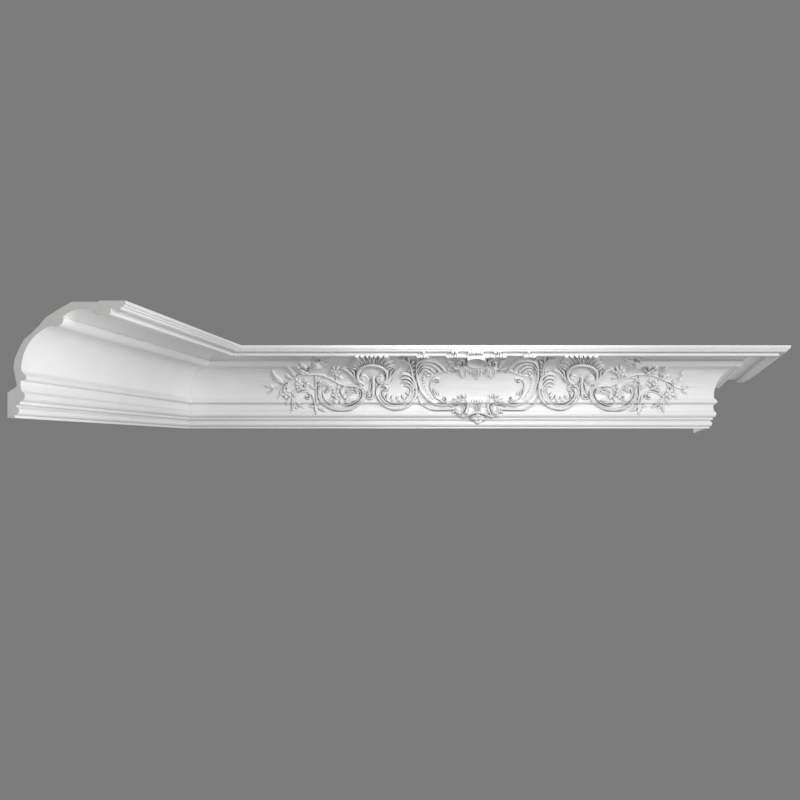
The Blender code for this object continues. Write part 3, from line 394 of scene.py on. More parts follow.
    def flower(self, centre, radius, height, petals, turn):
        """An open flower with a round eye, turned by an angle in degrees."""
        index, rho = self.within(centre, (radius, radius))
        x, y = self.a[index] - centre[0], self.b[index] - centre[1]
        lobe = np.abs(np.cos(petals * (np.arctan2(y, x) + math.radians(turn)) / 2))
        out = np.clip(rho / (0.62 + 0.38 * lobe**0.7), 0, 1)
        form = np.sqrt(1 - out**4) * (0.45 + 0.55 * lobe**0.5 * np.clip(out * 1.6, 0, 1))
        self.lay(index, np.where(out < 1, height * form, 0), 0.5)
        self.dome(centre, (radius * 0.32, radius * 0.32), height * 1.1, blend=0.2)

    def fan(self, centre, inner, outer, start, end, lobes, height):
        """A fluted shell: lobes spread round a centre from one angle to the other, in degrees."""
        index, _ = self.within(centre, (outer, outer))
        x, y = self.a[index] - centre[0], self.b[index] - centre[1]
        middle, half = (start + end) / 2, (end - start) / 2
        offset = np.degrees(np.arctan2(y, x)) - middle
        wave = np.abs(np.sin(np.pi * lobes * (offset + half) / (2 * half))) ** 0.8
        edge = outer * (0.86 + 0.14 * wave)
        rho = (np.hypot(x, y) - inner) / (edge - inner)
        form = (0.5 + 0.5 * wave) * (0.8 + 0.2 * np.clip(rho, 0, 1))
        form = form * np.clip(1 - np.clip(rho, 0, 1) ** 6, 0, 1) ** 0.5 * np.clip(rho * 5, 0, 1) ** 0.5
        inside = (rho > 0) & (rho < 1) & (np.abs(offset) < half)
        self.lay(index, np.where(inside, height * form, 0))

    def spiral(self, centre, radius, start, turns, width, height, hand=1, blend=0.5):
        """A volute: a rib that winds in from an angle, ending in a round eye."""
        t = np.linspace(0, 1, int(14 * turns) + 8)
        angle = math.radians(start) + hand * 2 * np.pi * turns * t
        reach = radius * (1 - 0.8 * t)
        line = np.column_stack([centre[0] + reach * np.cos(angle), centre[1] + reach * np.sin(angle)])
        self.stroke(line, width, height, taper=(1, 0.6), blend=blend, smooth=False)
        self.dome(centre, (radius * 0.34, radius * 0.34), height * 1.15, blend=0.3)

    def plate(self, outline, height, edge, crown=0.0, blend=0.7):
        """A raised plate inside a closed line, with a rounded edge and, if crowned, a swelling middle."""
        line = smooth_curve(outline, closed=True)
        line = np.vstack([line, line[0]])
        index, distance, _, _ = self.along(line, 0)
        a, b = self.a[index], self.b[index]
        inside = np.zeros(len(index), bool)
        for (x0, y0), (x1, y1) in zip(line[:-1], line[1:]):
            crossing = (y0 > b) != (y1 > b)
            inside ^= crossing & (a < (x1 - x0) * (b - y0) / (y1 - y0 + 1e-12) + x0)
        rise = np.sqrt(1 - (1 - np.clip(distance / edge, 0, 1)) ** 2)
        form = height * rise + crown * (1 - np.exp(-((distance / 22) ** 1.5)))
        self.lay(index, np.where(inside, form, 0), blend)

    def pearls(self, points, count, first, last, height):
        """A row of pearls along a curve, from the radius first to the radius last."""
        line = smooth_curve(points)
        run = np.concatenate([[0], np.cumsum(np.hypot(*np.diff(line, axis=0).T))])
        for i in range(count):
            share = i / (count - 1)
            at = run[-1] * (share * (1.12 - 0.12 * share))
            centre = (np.interp(at, run, line[:, 0]), np.interp(at, run, line[:, 1]))
            radius = first + (last - first) * share
            self.dome(centre, (radius, radius), height * (0.75 + 0.25 * radius / first), 0.45, blend=0.2)


def spray(r):
    """The leaf and flower spray at the motif's end."""
    r.stroke([(-449.5, 85.5), (-435.5, 89), (-423.5, 98.5), (-413.5, 102.5), (-401, 108.5), (-384, 114),
              (-365.5, 115.5), (-348.5, 115.5), (-336.5, 112.5), (-325.5, 108), (-310.5, 100),
              (-299.5, 94.5), (-290.5, 92.5)], 4.6, 5.2, taper=(0.7, 1))
    r.stroke([(-350.5, 101.5), (-345.5, 107), (-334.5, 109), (-323.5, 106)], 3.4, 4.2, taper=(0.6, 1))
    r.stroke([(-355.5, 112.5), (-356, 92.5), (-354, 66), (-353.5, 37.5)], 4.8, 5.2, taper=(0.8, 1))
    r.stroke([(-401, 108.5), (-393.5, 96)], 3, 3.6)
    r.stroke([(-310.5, 100.5), (-311.5, 112.5)], 3, 3.6)
    r.stroke([(-415.5, 101.5), (-419, 86)], 3, 3.6)
    for base, tip, width, height, bend, lobes in (
            ((-447, 86), (-471, 90.5), 8, 5.5, -0.1, 2), ((-448.5, 84), (-464.5, 75.5), 7, 5, 0.12, 2),
            ((-449.5, 87), (-461.5, 95.5), 6, 4.6, -0.1, 0), ((-426, 97), (-452, 125), 10, 7, 0.1, 3),
            ((-429.5, 96.5), (-451, 104.5), 9, 6, -0.12, 2), ((-430, 103.5), (-447.5, 114.5), 7, 5, 0.1, 2),
            ((-401.5, 109), (-418.5, 131), 9, 6.5, -0.1, 2), ((-406, 108), (-421.5, 115.5), 8, 5.5, 0.1, 2),
            ((-371, 117), (-397, 133), 12, 9, 0.1, 3), ((-375, 124), (-393.5, 140.5), 9, 7, -0.1, 2),
            ((-372.5, 117.5), (-363, 128), 8, 6, 0.14, 2), ((-382.5, 116), (-394.5, 119), 7, 5, -0.1, 0),
            ((-432, 84), (-441, 61.5), 9, 5.5, 0.12, 2), ((-416.5, 94.5), (-428, 83), 8, 5.5, -0.1, 2),
            ((-401.5, 78), (-375, 86), 8, 6, 0.1, 2), ((-382, 89), (-369.5, 96), 7, 5, 0.1, 2),
            ((-407, 67.5), (-410.5, 32.5), 10, 6.5, 0.1, 3), ((-403.5, 66), (-378.5, 44.5), 9, 6, -0.12, 3),
            ((-405, 62), (-392.5, 41), 8, 5.5, -0.12, 2), ((-412, 66), (-420, 48.5), 8, 5, -0.1, 2),
            ((-353.5, 55.5), (-329, 37.5), 10, 6.5, -0.14, 2), ((-355, 53), (-373, 48), 7, 5, 0.14, 0),
            ((-354, 45), (-357, 29), 7, 5, 0.1, 0), ((-354, 92.5), (-343, 102.5), 7, 5, -0.12, 0),
            ((-356.5, 86), (-368.5, 93.5), 8, 5.5, 0.12, 2),
            ((-354.5, 70.5), (-345.5, 62.5), 6, 4.4, 0.1, 0)):
        r.leaf(base, tip, width, height, bend, lobes)
    for centre, radius, height, petals, turn in (
            ((-421.5, 75.5), 11.5, 7, 5, 20), ((-392.5, 93.5), 10, 7, 5, 60), ((-403, 76), 7, 5.6, 4, 0),
            ((-350.5, 104), 6.5, 5.6, 4, 30), ((-312.5, 122), 12.5, 8, 6, 10),
            ((-379.5, 102.5), 5.5, 4.6, 4, 0)):
        r.flower(centre, radius, height, petals, turn)
    r.stroke([(-396.5, 76.5), (-385, 79), (-373, 79), (-364.5, 73.5), (-360, 64), (-357.5, 53),
              (-356.5, 40)], 5, 6, taper=(0.6, 1))
    r.spiral((-374.5, 69.5), 7.5, 60, 1.0, 3.8, 5.6, hand=-1)
    r.leaf((-301.5, 118), (-287.5, 129), 9, 6, bend=0.12, lobes=2)
    r.leaf((-321.5, 119), (-332, 109), 8, 5, bend=0.1, lobes=2)
    r.leaf((-306, 111), (-294, 106.5), 7, 5, bend=-0.1)


def bead_end(r):
    """The torn leaf that ends the upper bead and flicks up to a point."""
    r.leaf((-360.5, 136.5), (-320, 151), 15, 9, bend=-0.1, lobes=3)
    r.leaf((-360.5, 134), (-335.5, 134.5), 11, 8, bend=-0.08, lobes=2)
    r.leaf((-360.5, 138.5), (-346.5, 153), 10, 7.5, bend=0.12, lobes=2)


def first_scroll(r):
    """The C-scroll with flowers in it: a ribbed band that curls in at both heads."""
    r.stroke([(-332, 79.5), (-325, 86), (-328.5, 93.5), (-338, 95.5), (-346, 90.5), (-348.5, 79.5),
              (-346, 66), (-338, 55.5), (-326, 47), (-312.5, 42.5), (-295, 41.5), (-278.5, 44.5),
              (-264.5, 52), (-254, 61), (-249.5, 73), (-251.5, 84.5), (-259, 90.5), (-265.5, 87.5),
              (-263.5, 80.5)], 12.5, 9, "ribbed", taper=(0.5, 0.75), ribs=3)
    r.stroke([(-257.5, 82.5), (-257.5, 71.5), (-264.5, 61), (-274.5, 54), (-286, 51), (-297, 52.5),
              (-302, 59), (-298, 66)], 4, 6.8, taper=(0.7, 1))
    r.stroke([(-337.5, 84), (-339.5, 73), (-334.5, 62.5), (-325, 55.5), (-314.5, 53)], 3.8, 5.4,
             taper=(1, 0.6))
    r.stroke([(-298, 72), (-300.5, 81.5), (-296.5, 88.5), (-287.5, 92), (-277.5, 91.5), (-268.5, 91.5)], 4.8,
             7.4, taper=(0.6, 1))
    r.flower((-311.5, 74), 10.5, 7.5, 5, 15)
    for base, tip, width, height, bend, lobes in (
            ((-317, 84), (-324, 96), 8, 5.5, 0.1, 2), ((-307, 84), (-303.5, 96), 7, 5, 0.1, 0),
            ((-290.5, 78.5), (-272, 87), 9, 6.5, 0.1, 2), ((-291.5, 72), (-266.5, 76.5), 10, 7, 0.1, 3),
            ((-290.5, 66), (-268, 62.5), 10, 7, -0.1, 3), ((-291.5, 61), (-277.5, 55.5), 7, 5.5, -0.1, 0),
            ((-316, 64), (-307, 52), 8, 5.5, -0.12, 2), ((-321.5, 67.5), (-325.5, 58.5), 7, 5, 0.1, 0)):
        r.leaf(base, tip, width, height, bend, lobes)
    r.dome((-292.5, 69.5), (5, 5), 7.5)


def shell_crest(r):
    """The shell over its keyhole: curled lobes spread round a horseshoe arch that ends in two volutes."""
    middle = -230.5
    lobes = (((-230.5, 138.5), (-230.5, 156), 15, 11, 0.0), ((-239, 138.5), (-242.5, 155.5), 11, 10.5, 0.12),
             ((-244.5, 136.5), (-255.5, 153.5), 12, 11.5, 0.14),
             ((-250, 135), (-272.5, 149.5), 14, 12, 0.18), ((-255.5, 130), (-277.5, 143), 13, 11.5, 0.16),
             ((-257.5, 124), (-281, 134), 12, 10.5, 0.16))
    for base, tip, width, height, bend in lobes:
        for hand in (-1, 1):
            start = (middle + hand * (middle - base[0]), base[1])
            end = (middle + hand * (middle - tip[0]), tip[1])
            r.leaf(start, end, width, height, bend=hand * bend, vein=0.45, fat=1.15, blend=0.2)
    for hand in (-1, 1):
        flare = [(middle + hand * x, y) for x, y in ((26, 96), (36, 104), (43, 114), (52, 123), (61, 127))]
        r.stroke(flare, 10, 11, taper=(0.8, 0.35), blend=0.3)
        inner = [(middle + hand * x, y) for x, y in ((29, 100), (37, 110), (41, 121), (48, 131))]
        r.stroke(inner, 9, 11.5, taper=(0.8, 0.4), blend=0.3)
        rib = [(middle + hand * x, y) for x, y in ((19, 97), (29, 104), (32.5, 116), (29, 128), (20, 135.6),
                                                   (9, 138.6), (0, 139.4))]
        r.stroke(rib, 7, 13.5, taper=(0.9, 1), blend=0.3)
        eye = (middle + hand * 18.5, 106)
        r.dome(eye, (11.5, 10.5), 10, 0.3, blend=0.2)
        r.spiral(eye, 10.5, 90 - hand * 15, 0.9, 4.6, 10.8, hand=hand)
    r.dome((middle, 119), (24, 17), 7.5, 0.9)
    # the keyhole stem, its spread foot and the small curl under it
    r.stroke([(-229, 112.5), (-228.5, 94.5), (-229.5, 75)], 8.5, 9.5, taper=(0.9, 1))
    r.stroke([(-234, 99), (-237, 86), (-243, 73.5)], 5, 7, taper=(0.8, 0.6))
    r.stroke([(-223.5, 97), (-222.5, 84), (-219, 73)], 4.6, 7, taper=(0.8, 0.6))
    r.stroke([(-230, 77), (-230.5, 69.5), (-235.5, 64.5), (-241.5, 66.5), (-240.5, 71)], 4.6, 7.6,
             taper=(1, 0.7))
    r.dome((-237, 69.5), (3, 3), 7)


def second_scroll(r):
    """The C-scroll with a small scalloped shell in its band, and a curled acanthus leaf on its shoulder."""
    r.plate([(-189.5, 119), (-174.5, 122), (-169, 110), (-163.5, 92.5), (-154.5, 81.5), (-168, 70.5),
             (-183, 67.5), (-198.5, 75), (-196.5, 88), (-189.5, 101.5)], 2.6, 7)
    r.stroke([(-216, 84), (-217, 73), (-206.5, 56.5), (-189.5, 48), (-172, 48.5), (-157, 55.5),
              (-144.5, 68.5), (-140.5, 84), (-143.5, 92.5)], 19, 5, "flat", taper=(0.5, 0.8))
    tongues = (((-208, 67.5), (-204.5, 81.5)), ((-199.5, 61), (-194, 75.5)), ((-187, 58), (-184, 72)),
               ((-173.5, 58.5), (-173.5, 75.5)), ((-161, 62.5), (-163.5, 77.5)),
               ((-151, 71.5), (-155, 84.5)))
    for base, tip in tongues:
        r.leaf(base, tip, 10.5, 6.6, bend=0.03, vein=0.35, fat=1.3, blend=0.2)
    r.stroke([(-204, 81), (-198.5, 86), (-202, 91.5), (-212, 93), (-219.5, 87.5), (-222.5, 78.5), (-219, 68),
              (-210.5, 55.5), (-200.5, 47), (-187.5, 42.5), (-174.5, 42.5), (-161, 45), (-150, 52),
              (-141.5, 61), (-135.5, 73), (-135.5, 85), (-140.5, 95.5)], 6.6, 10, taper=(0.7, 0.9),
             blend=0.3)
    r.stroke([(-208.5, 86), (-213.5, 80.5), (-213, 69.5), (-206.5, 59.5), (-196.5, 52.5), (-184.5, 49.5),
              (-172, 50), (-159, 54.5), (-148.5, 62.5), (-142.5, 73), (-141.5, 84), (-144.5, 92.5)], 4.8,
             8.6, taper=(0.7, 1), blend=0.3)
    r.stroke([(-206.5, 74), (-203, 64), (-194, 58), (-183, 55.5), (-172, 56), (-160.5, 60), (-152, 68.5),
              (-147.5, 78), (-148, 88)], 4, 7.4, taper=(0.7, 1), blend=0.3)
    for points, width, height in (
            ([(-135, 88), (-136.5, 101.5), (-143.5, 111.5), (-153.5, 117.5), (-163.5, 118.5),
              (-171, 114.5)], 8, 12),
            ([(-138, 88), (-141.5, 99), (-149, 107), (-158, 110), (-168.5, 106.5)], 7.4, 11),
            ([(-141, 87.5), (-146, 95.5), (-153, 101), (-160.5, 102), (-168, 97)], 7, 10.2),
            ([(-143.5, 84), (-149, 90.5), (-156, 93), (-162, 90.5)], 5.6, 9)):
        r.stroke(points, width, height, taper=(1, 0.45), blend=0.25)
    # the upright feather between this scroll and the cartouche
    r.stroke([(-137, 94.5), (-142, 112.5), (-145, 127.5), (-147.5, 138.5), (-154, 145.5), (-164, 148.5),
              (-172, 148)], 6.5, 11, taper=(1, 0.5), blend=0.3)
    for base, tip in (((-146.5, 135.5), (-135.5, 144.5)), ((-145.5, 129), (-135, 136.5)),
                      ((-144, 121.5), (-135, 127.5)), ((-143, 114.5), (-135.5, 119.5)),
                      ((-149, 141), (-163, 153)), ((-148, 144), (-149.5, 154)),
                      ((-146, 125.5), (-153.5, 126.5)), ((-144.5, 117.5), (-151, 121.5))):
        r.leaf(base, tip, 7, 9.5, bend=0.12, vein=0.3)


def cartouche(r):
    """The middle cartouche: frame, plume, pearls, swelling field, drapery, boss, crest and palmette."""
    field = [(0, 123), (-60.5, 127.5), (-91, 119), (-103, 103.5), (-100.5, 84), (-89, 67), (-69, 56),
             (-38.5, 58), (0, 58.5), (38.5, 62), (40.5, 94.5), (38.5, 123)]
    body = [(0, 158.5), (-56, 152.5), (-104, 152), (-130.5, 148), (-134, 123), (-132.5, 97), (-125, 76.5),
            (-110.5, 59), (-91, 49), (-67, 48.5), (-43, 56), (0, 44.5), (40.5, 62), (40.5, 149.5)]
    r.plate(body, 6.0, 5)
    r.plate(field, 6.5, 8, crown=5.5)
    # frame line, its lower twin and the two inner scrolls
    r.stroke([(-128.5, 145), (-132.5, 135.5), (-133, 121), (-131.5, 105), (-127, 90.5), (-121, 77),
              (-111.5, 65.5), (-101, 57), (-89.5, 52), (-78, 50.5), (-64.5, 53.5), (-51.5, 58),
              (-39.5, 62.5)], 7, 12, taper=(0.9, 0.9), blend=0.3)
    r.stroke([(-130.5, 67.5), (-125, 55.5), (-116, 48), (-104, 42.5), (-89, 41), (-71.5, 41.5), (-56, 42.5),
              (-45, 46.5)], 6, 8, taper=(0.5, 1), blend=0.3)
    r.stroke([(-83, 109.5), (-92, 110.5), (-100.5, 105), (-103, 92.5), (-100, 79.5), (-92, 67.5), (-80, 59)],
             4.4, 13, taper=(1, 0.7), blend=0.3)
    for a in (-94.5, -89, -84):
        r.stroke([(a, 95.5), (a - 2, 84), (a + 1.5, 73)], 4.6, 10.8, taper=(0.5, 1), blend=0.5)
    r.spiral((-89.5, 104), 7.5, 150, 1.1, 3.8, 14, hand=-1)
    r.spiral((-73.5, 64), 7.8, 200, 1.1, 4, 14.5, hand=1)
    for base, tip in (((-41.5, 54), (-61.5, 62)), ((-39.5, 58.5), (-57, 70.5)), ((-35, 62.5), (-47, 77)),
                      ((-30.5, 66), (-36, 80.5))):
        r.leaf(base, tip, 7, 14, bend=0.1, vein=0.3)
    r.pearls([(-114.5, 120), (-118.5, 108), (-118, 95.5), (-114.5, 84.5), (-108, 74), (-99, 65)], 11, 3.2,
             1.7, 12.5)
    # plume: four flutes that sweep over from the frame, and the leaf tip that curls up under them
    for points, width, height in (
            ([(-132, 136.5), (-127, 145), (-115, 149.5), (-100.5, 149.5), (-87.5, 145.5), (-78, 138),
              (-70, 129)], 8.2, 16),
            ([(-130.5, 129), (-123.5, 140), (-111.5, 143), (-99, 141), (-89, 135), (-81.5, 126.5)], 7.8, 15),
            ([(-129.5, 123), (-122, 133.5), (-111, 136), (-101.5, 132), (-93, 124)], 6.8, 14),
            ([(-128.5, 118), (-121.5, 127), (-112.5, 129), (-104.5, 124.5), (-98.5, 119)], 6, 13),
            ([(-111.5, 116.5), (-100.5, 116.5), (-87.5, 122), (-75.5, 127.5), (-67, 128),
              (-63, 123)], 5.4, 13.6)):
        r.stroke(points, width, height, taper=(0.7, 0.9), blend=0.2)
    # leafy shoulder between plume and volute
    for base, tip in (((-50, 146), (-70, 150)), ((-50, 141), (-66.5, 143.5)), ((-50, 135.5), (-64, 138.5)),
                      ((-48.5, 130.5), (-69.5, 134)), ((-45, 130), (-57, 124.5))):
        r.leaf(base, tip, 8, 13.5, bend=0.14, vein=0.35, blend=0.2)
    r.spiral((-41.5, 141), 10, 200, 1.0, 5.4, 15.5, hand=1)
    r.stroke([(-34, 150.5), (-25, 147.5), (-20, 138.5), (-12, 133.5), (0, 131.5)], 6, 14.5, taper=(0.8, 1),
             blend=0.3)
    r.leaf((-32, 135), (-22, 144.5), 8, 14.5, bend=0.1, vein=0.3)
    # hanging drapery
    r.plate([(-49.5, 134), (-41.5, 124.5), (-39, 115.5), (-32, 109), (-23.5, 113), (-19.5, 115.5),
             (-13, 122.5), (-8.5, 113), (0, 105), (8.5, 113), (16.5, 136.5), (-25, 141)], 12.5, 3.5)
    for base, tip, width in (((-39.5, 132), (-34, 110), 9), ((-25.5, 132), (-28, 110), 9),
                             ((-17.5, 132), (-18, 116.5), 7), ((0, 134), (0, 104.5), 13),
                             ((-8.5, 133.5), (-5.5, 109), 7)):
        r.leaf(base, tip, width, 15.5, vein=0.35, bend=0.03, blend=0.2)
    r.spiral((-23.5, 128.5), 5.6, 90, 0.8, 3.4, 16, hand=-1)
    # boss over it: a bowl sunk in a rim
    r.dome((0, 147.5), (24, 13), 15, 0.35)
    r.sink((0, 147.5), (19, 9.4), 2.5)
    r.ring((0, 147.5), (20.5, 10.8), 3.8, 16.6, 90, 270, 0.3)
    # crest over the fillet: leaves fanned from the frame's corner, from over the volute and from the middle
    for base, tips, height in (
            ((-118.5, 147.5), ((-132, 155.5), (-125, 162), (-114.5, 165.5), (-105.5, 160.5)), 8),
            ((-48, 147.5), ((-68, 154.5), (-62.5, 162), (-52.5, 167), (-41, 166.5), (-32, 161.5)), 8.5),
            ((0, 150.5), ((-22, 157), (-17.5, 165.5), (-8.5, 169.5), (0, 172)), 9)):
        for tip in tips:
            lean = (tip[0] - base[0]) * 0.55
            start = (base[0] + lean, base[1])
            r.leaf(start, tip, 9.5, height, bend=lean / 90, vein=0.45, fat=1.1, blend=0.1)
    # bottom palmette and its side scrolls
    r.fan((0, 30), 6, 50, 62, 118, 5, 10)
    r.stroke([(-60.5, 50), (-47, 55.5), (-35.5, 53), (-30.5, 43.5), (-36, 34), (-46, 36), (-46, 42)], 7.5,
             11, "ribbed", taper=(0.6, 0.8), ribs=2)
    r.stroke([(-40.5, 74), (-29.5, 68.5), (-23, 59), (-22, 46.5), (-26.5, 34)], 6.5, 12, taper=(0.5, 1),
             blend=0.3)
    r.leaf((-25, 56), (-21.5, 81.5), 8, 12, bend=0.1, vein=0.3)
    r.leaf((-48.5, 45), (-57, 32), 8, 8, bend=0.1)
    r.leaf((-36, 35.5), (-43.5, 24.5), 7, 8, bend=-0.1)
    r.stroke([(-42, 30.5), (-32, 25), (-21, 28), (-10.5, 33), (0, 34.5)], 6, 9.6, taper=(0.5, 1))
    r.stroke([(-20, 22), (-10.5, 26), (0, 27)], 4, 7.5, taper=(0.6, 1))
    r.leaf((0, 28), (0, 8.5), 27, 9.5, bend=0, fat=0.62, vein=0.25)
    r.leaf((-3, 24), (-15, 17), 9, 8.5, bend=-0.12, vein=0.3, blend=0.2)


def relief_height(a, b):
    """Height of the relief, in millimetres, at each point of the face."""
    r = Relief(np.ravel(a), np.ravel(b))
    first_scroll(r)
    spray(r)
    second_scroll(r)
    shell_crest(r)
    cartouche(r)
    bead_end(r)
    return r.height.reshape(np.shape(a))


def outward(points):
    """The way the relief stands out at points of the section: level below, tipping to the draft above."""
    tip = np.clip((points[..., 1] - DRAFT_FROM) / (DRAFT_FULL - DRAFT_FROM), 0, 1) * DRAFT
    return np.stack([np.cos(tip), -np.sin(tip)], axis=-1)


def carved_face(x, cell):
    """The carved face at stations x along the wall: an array of (P, Q) by station and outline point."""
    front = np.array(front_outline(cell))
    field = field_outline(front)
    share = np.clip((BEAD_STOP - np.abs(x - MOTIF_MIDDLE)) / BEAD_TAPER, 0, 1)
    plain = front + (field - front) * (share * share * (3 - 2 * share))[:, None, None]
    out = outward(plain)
    raised = plain + TYPICAL_RELIEF * out
    scale = (EYE_DISTANCE - DRAWN_AT) / (EYE_DISTANCE - raised[..., 0])
    a = (x[:, None] - MOTIF_MIDDLE) * scale
    b = (raised[..., 1] - EYE_HEIGHT) * scale + EYE_HEIGHT
    quarter = cell / 4
    offsets = [(da, db) for da in (-quarter, quarter) for db in (-quarter, quarter)]
    height = sum(relief_height(a + da, b + db) for da, db in offsets) / len(offsets)
    height = height * np.clip((RELIEF_ENDS - plain[..., 0]) / RELIEF_FADE, 0, 1)
    face = np.minimum(plain + out * height[..., None], RELIEF_LIMIT)
    return np.where((height > 0)[..., None], face, plain)


def place_of(start, turn):
    """Places a length: its wall's foot at start, in millimetres off the inside corner, and its turn."""
    return Matrix.Translation(CORNER + Vector(start) * MM) @ Matrix.Rotation(turn, 4, "Z")


def new_piece(name, points, faces, slots, place, node):
    """Puts a mesh in the scene in place of its node. points are in millimetres, as (along, P, Q)."""
    co = np.asarray(points, float) * (MM, -MM, MM)
    mesh = bpy.data.meshes.new(name)
    mesh.from_pydata(co.tolist(), [], faces)
    mesh.transform(place)
    for finish in FINISHES:
        mesh.materials.append(finish)
    mesh.polygons.foreach_set("material_index", slots)
    tidy = bmesh.new()
    tidy.from_mesh(mesh)
    bmesh.ops.recalc_face_normals(tidy, faces=tidy.faces)
    tidy.to_mesh(mesh)
    tidy.free()
    mesh.shade_smooth()
    mesh.set_sharp_from_angle(angle=SHARP)
    piece = bpy.data.objects.new(name, mesh)
    bpy.context.scene.collection.objects.link(piece)
    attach(piece, "root")
    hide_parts(node)
    return piece


def swept_length(name, node, first, last, place):
    """A plain length: rings of the section, from first(P) to last(P) along the wall, with two flat ends."""
    front, back = front_outline(SWEEP_SPACING), back_outline()
    outline = np.array(front + back)
    start, end = first(outline[:, 0]), last(outline[:, 0])
    stations = max(2, round((end - start).mean() / SWEEP_STATION))
    rows = len(outline)
    points, faces, slots = [], [], []
    for i in range(stations + 1):
        along = start + (end - start) * i / stations
        points.append(np.column_stack([along, outline]))
    for i in range(stations):
        for j in range(rows):
            k = (j + 1) % rows
            faces.append((i * rows + j, i * rows + k, (i + 1) * rows + k, (i + 1) * rows + j))
            slots.append(PAINTED if j < len(front) - 1 else BARE)
    faces.append(tuple(range(rows)))
    faces.append(tuple(stations * rows + j for j in range(rows)))
    slots += [BARE, BARE]
    new_piece(name, np.vstack(points), faces, slots, place, node)


def inside_mitre(p):
    """Where the middle length starts along its wall, a distance p out from it."""
    return p + HALF_GAP * math.sqrt(2)


def outside_mitre(p):
    """Where the middle length ends along its wall, a distance p out from it."""
    return CENTRE_WALL + p * math.tan(RETURN_TURN / 2) - HALF_GAP / math.cos(RETURN_TURN / 2)


def thin_out(piece, triangles):
    """Merges the cells of the flat stretches until the piece has no more than this many triangles."""
    piece.data.calc_loop_triangles()
    thinner = piece.modifiers.new("thin_out", "DECIMATE")
    thinner.ratio = min(1.0, triangles / len(piece.data.loop_triangles))
    dense = piece.data
    piece.data = bpy.data.meshes.new_from_object(piece.evaluated_get(bpy.context.evaluated_depsgraph_get()))
    piece.modifiers.clear()
    bpy.data.meshes.remove(dense)
    piece.data.set_sharp_from_angle(angle=SHARP)


def carved_length():
    """The middle length: a fine sheet of cells for the face, with the relief on it, and a plain back."""
    steps = round(2 * MOTIF_HALF / RELIEF_CELL)
    x = MOTIF_MIDDLE + np.linspace(-MOTIF_HALF, MOTIF_HALF, steps + 1)
    face = carved_face(x, RELIEF_CELL)
    front = np.array(front_outline(RELIEF_CELL))
    back = np.array(back_outline())
    along = np.vstack([inside_mitre(front[:, 0]), np.repeat(x[:, None], len(front), axis=1),
                       outside_mitre(front[:, 0])])
    rings = np.concatenate([front[None], face, front[None]])
    columns, rows = along.shape
    points = np.concatenate([along[..., None], rings], axis=2).reshape(-1, 3)
    index = np.arange(columns * rows).reshape(columns, rows)
    quads = np.stack([index[:-1, :-1], index[:-1, 1:], index[1:, 1:], index[1:, :-1]], axis=-1)
    quads = quads.reshape(-1, 4)
    faces = [tuple(quad) for quad in quads.tolist()]
    slots = [PAINTED] * len(faces)
    extra = np.vstack([np.column_stack([inside_mitre(back[:, 0]), back]),
                       np.column_stack([outside_mitre(back[:, 0]), back])])
    near = [columns * rows + j for j in range(len(back))]
    far = [n + len(back) for n in near]
    top = index[:, -1].tolist()
    foot = index[:, 0].tolist()
    faces.append(tuple([near[0]] + top + [far[0]]))
    for j in range(len(back) - 1):
        faces.append((near[j], near[j + 1], far[j + 1], far[j]))
    faces.append(tuple([near[-1]] + foot + [far[-1]]))
    faces.append(tuple(index[0].tolist() + near))
    faces.append(tuple(index[-1].tolist() + far))
    slots += [BARE] * (len(faces) - len(slots))
    piece = new_piece("centre_length_relief", np.vstack([points, extra]), faces, slots,
                      place_of((0, 0, 0), 0.0), "centre_length")
    thin_out(piece, RELIEF_TRIANGLES)


def make_node(tree, kind, inputs, **settings):
    """A node with these settings; each input is given its value, or linked if that is another's output."""
    made = tree.nodes.new(kind)
    for name, value in settings.items():
        setattr(made, name, value)
    for name, value in inputs.items():
        if isinstance(value, bpy.types.NodeSocket):
            tree.links.new(value, made.inputs[name])
        else:
            made.inputs[name].default_value = value
    return made


def ramp(tree, share, dark, light, first=0.0, last=1.0):
    """A tone between dark and light, by where share lies from first to last."""
    made = make_node(tree, "ShaderNodeValToRGB", {"Fac": share})
    low, high = made.color_ramp.elements
    low.position, low.color = first, dark
    high.position, high.color = last, light
    return made.outputs["Color"]


def pitted(tree, height, strength):
    """The face's direction where small pits roughen it."""
    made = make_node(tree, "ShaderNodeBump", {"Height": height, "Strength": strength, "Distance": PIT_DEPTH})
    return made.outputs["Normal"]


def new_finish(name):
    """A material with its node tree and its shader."""
    finish = bpy.data.materials.new(name)
    finish.use_nodes = True
    return finish, finish.node_tree, finish.node_tree.nodes["Principled BSDF"]


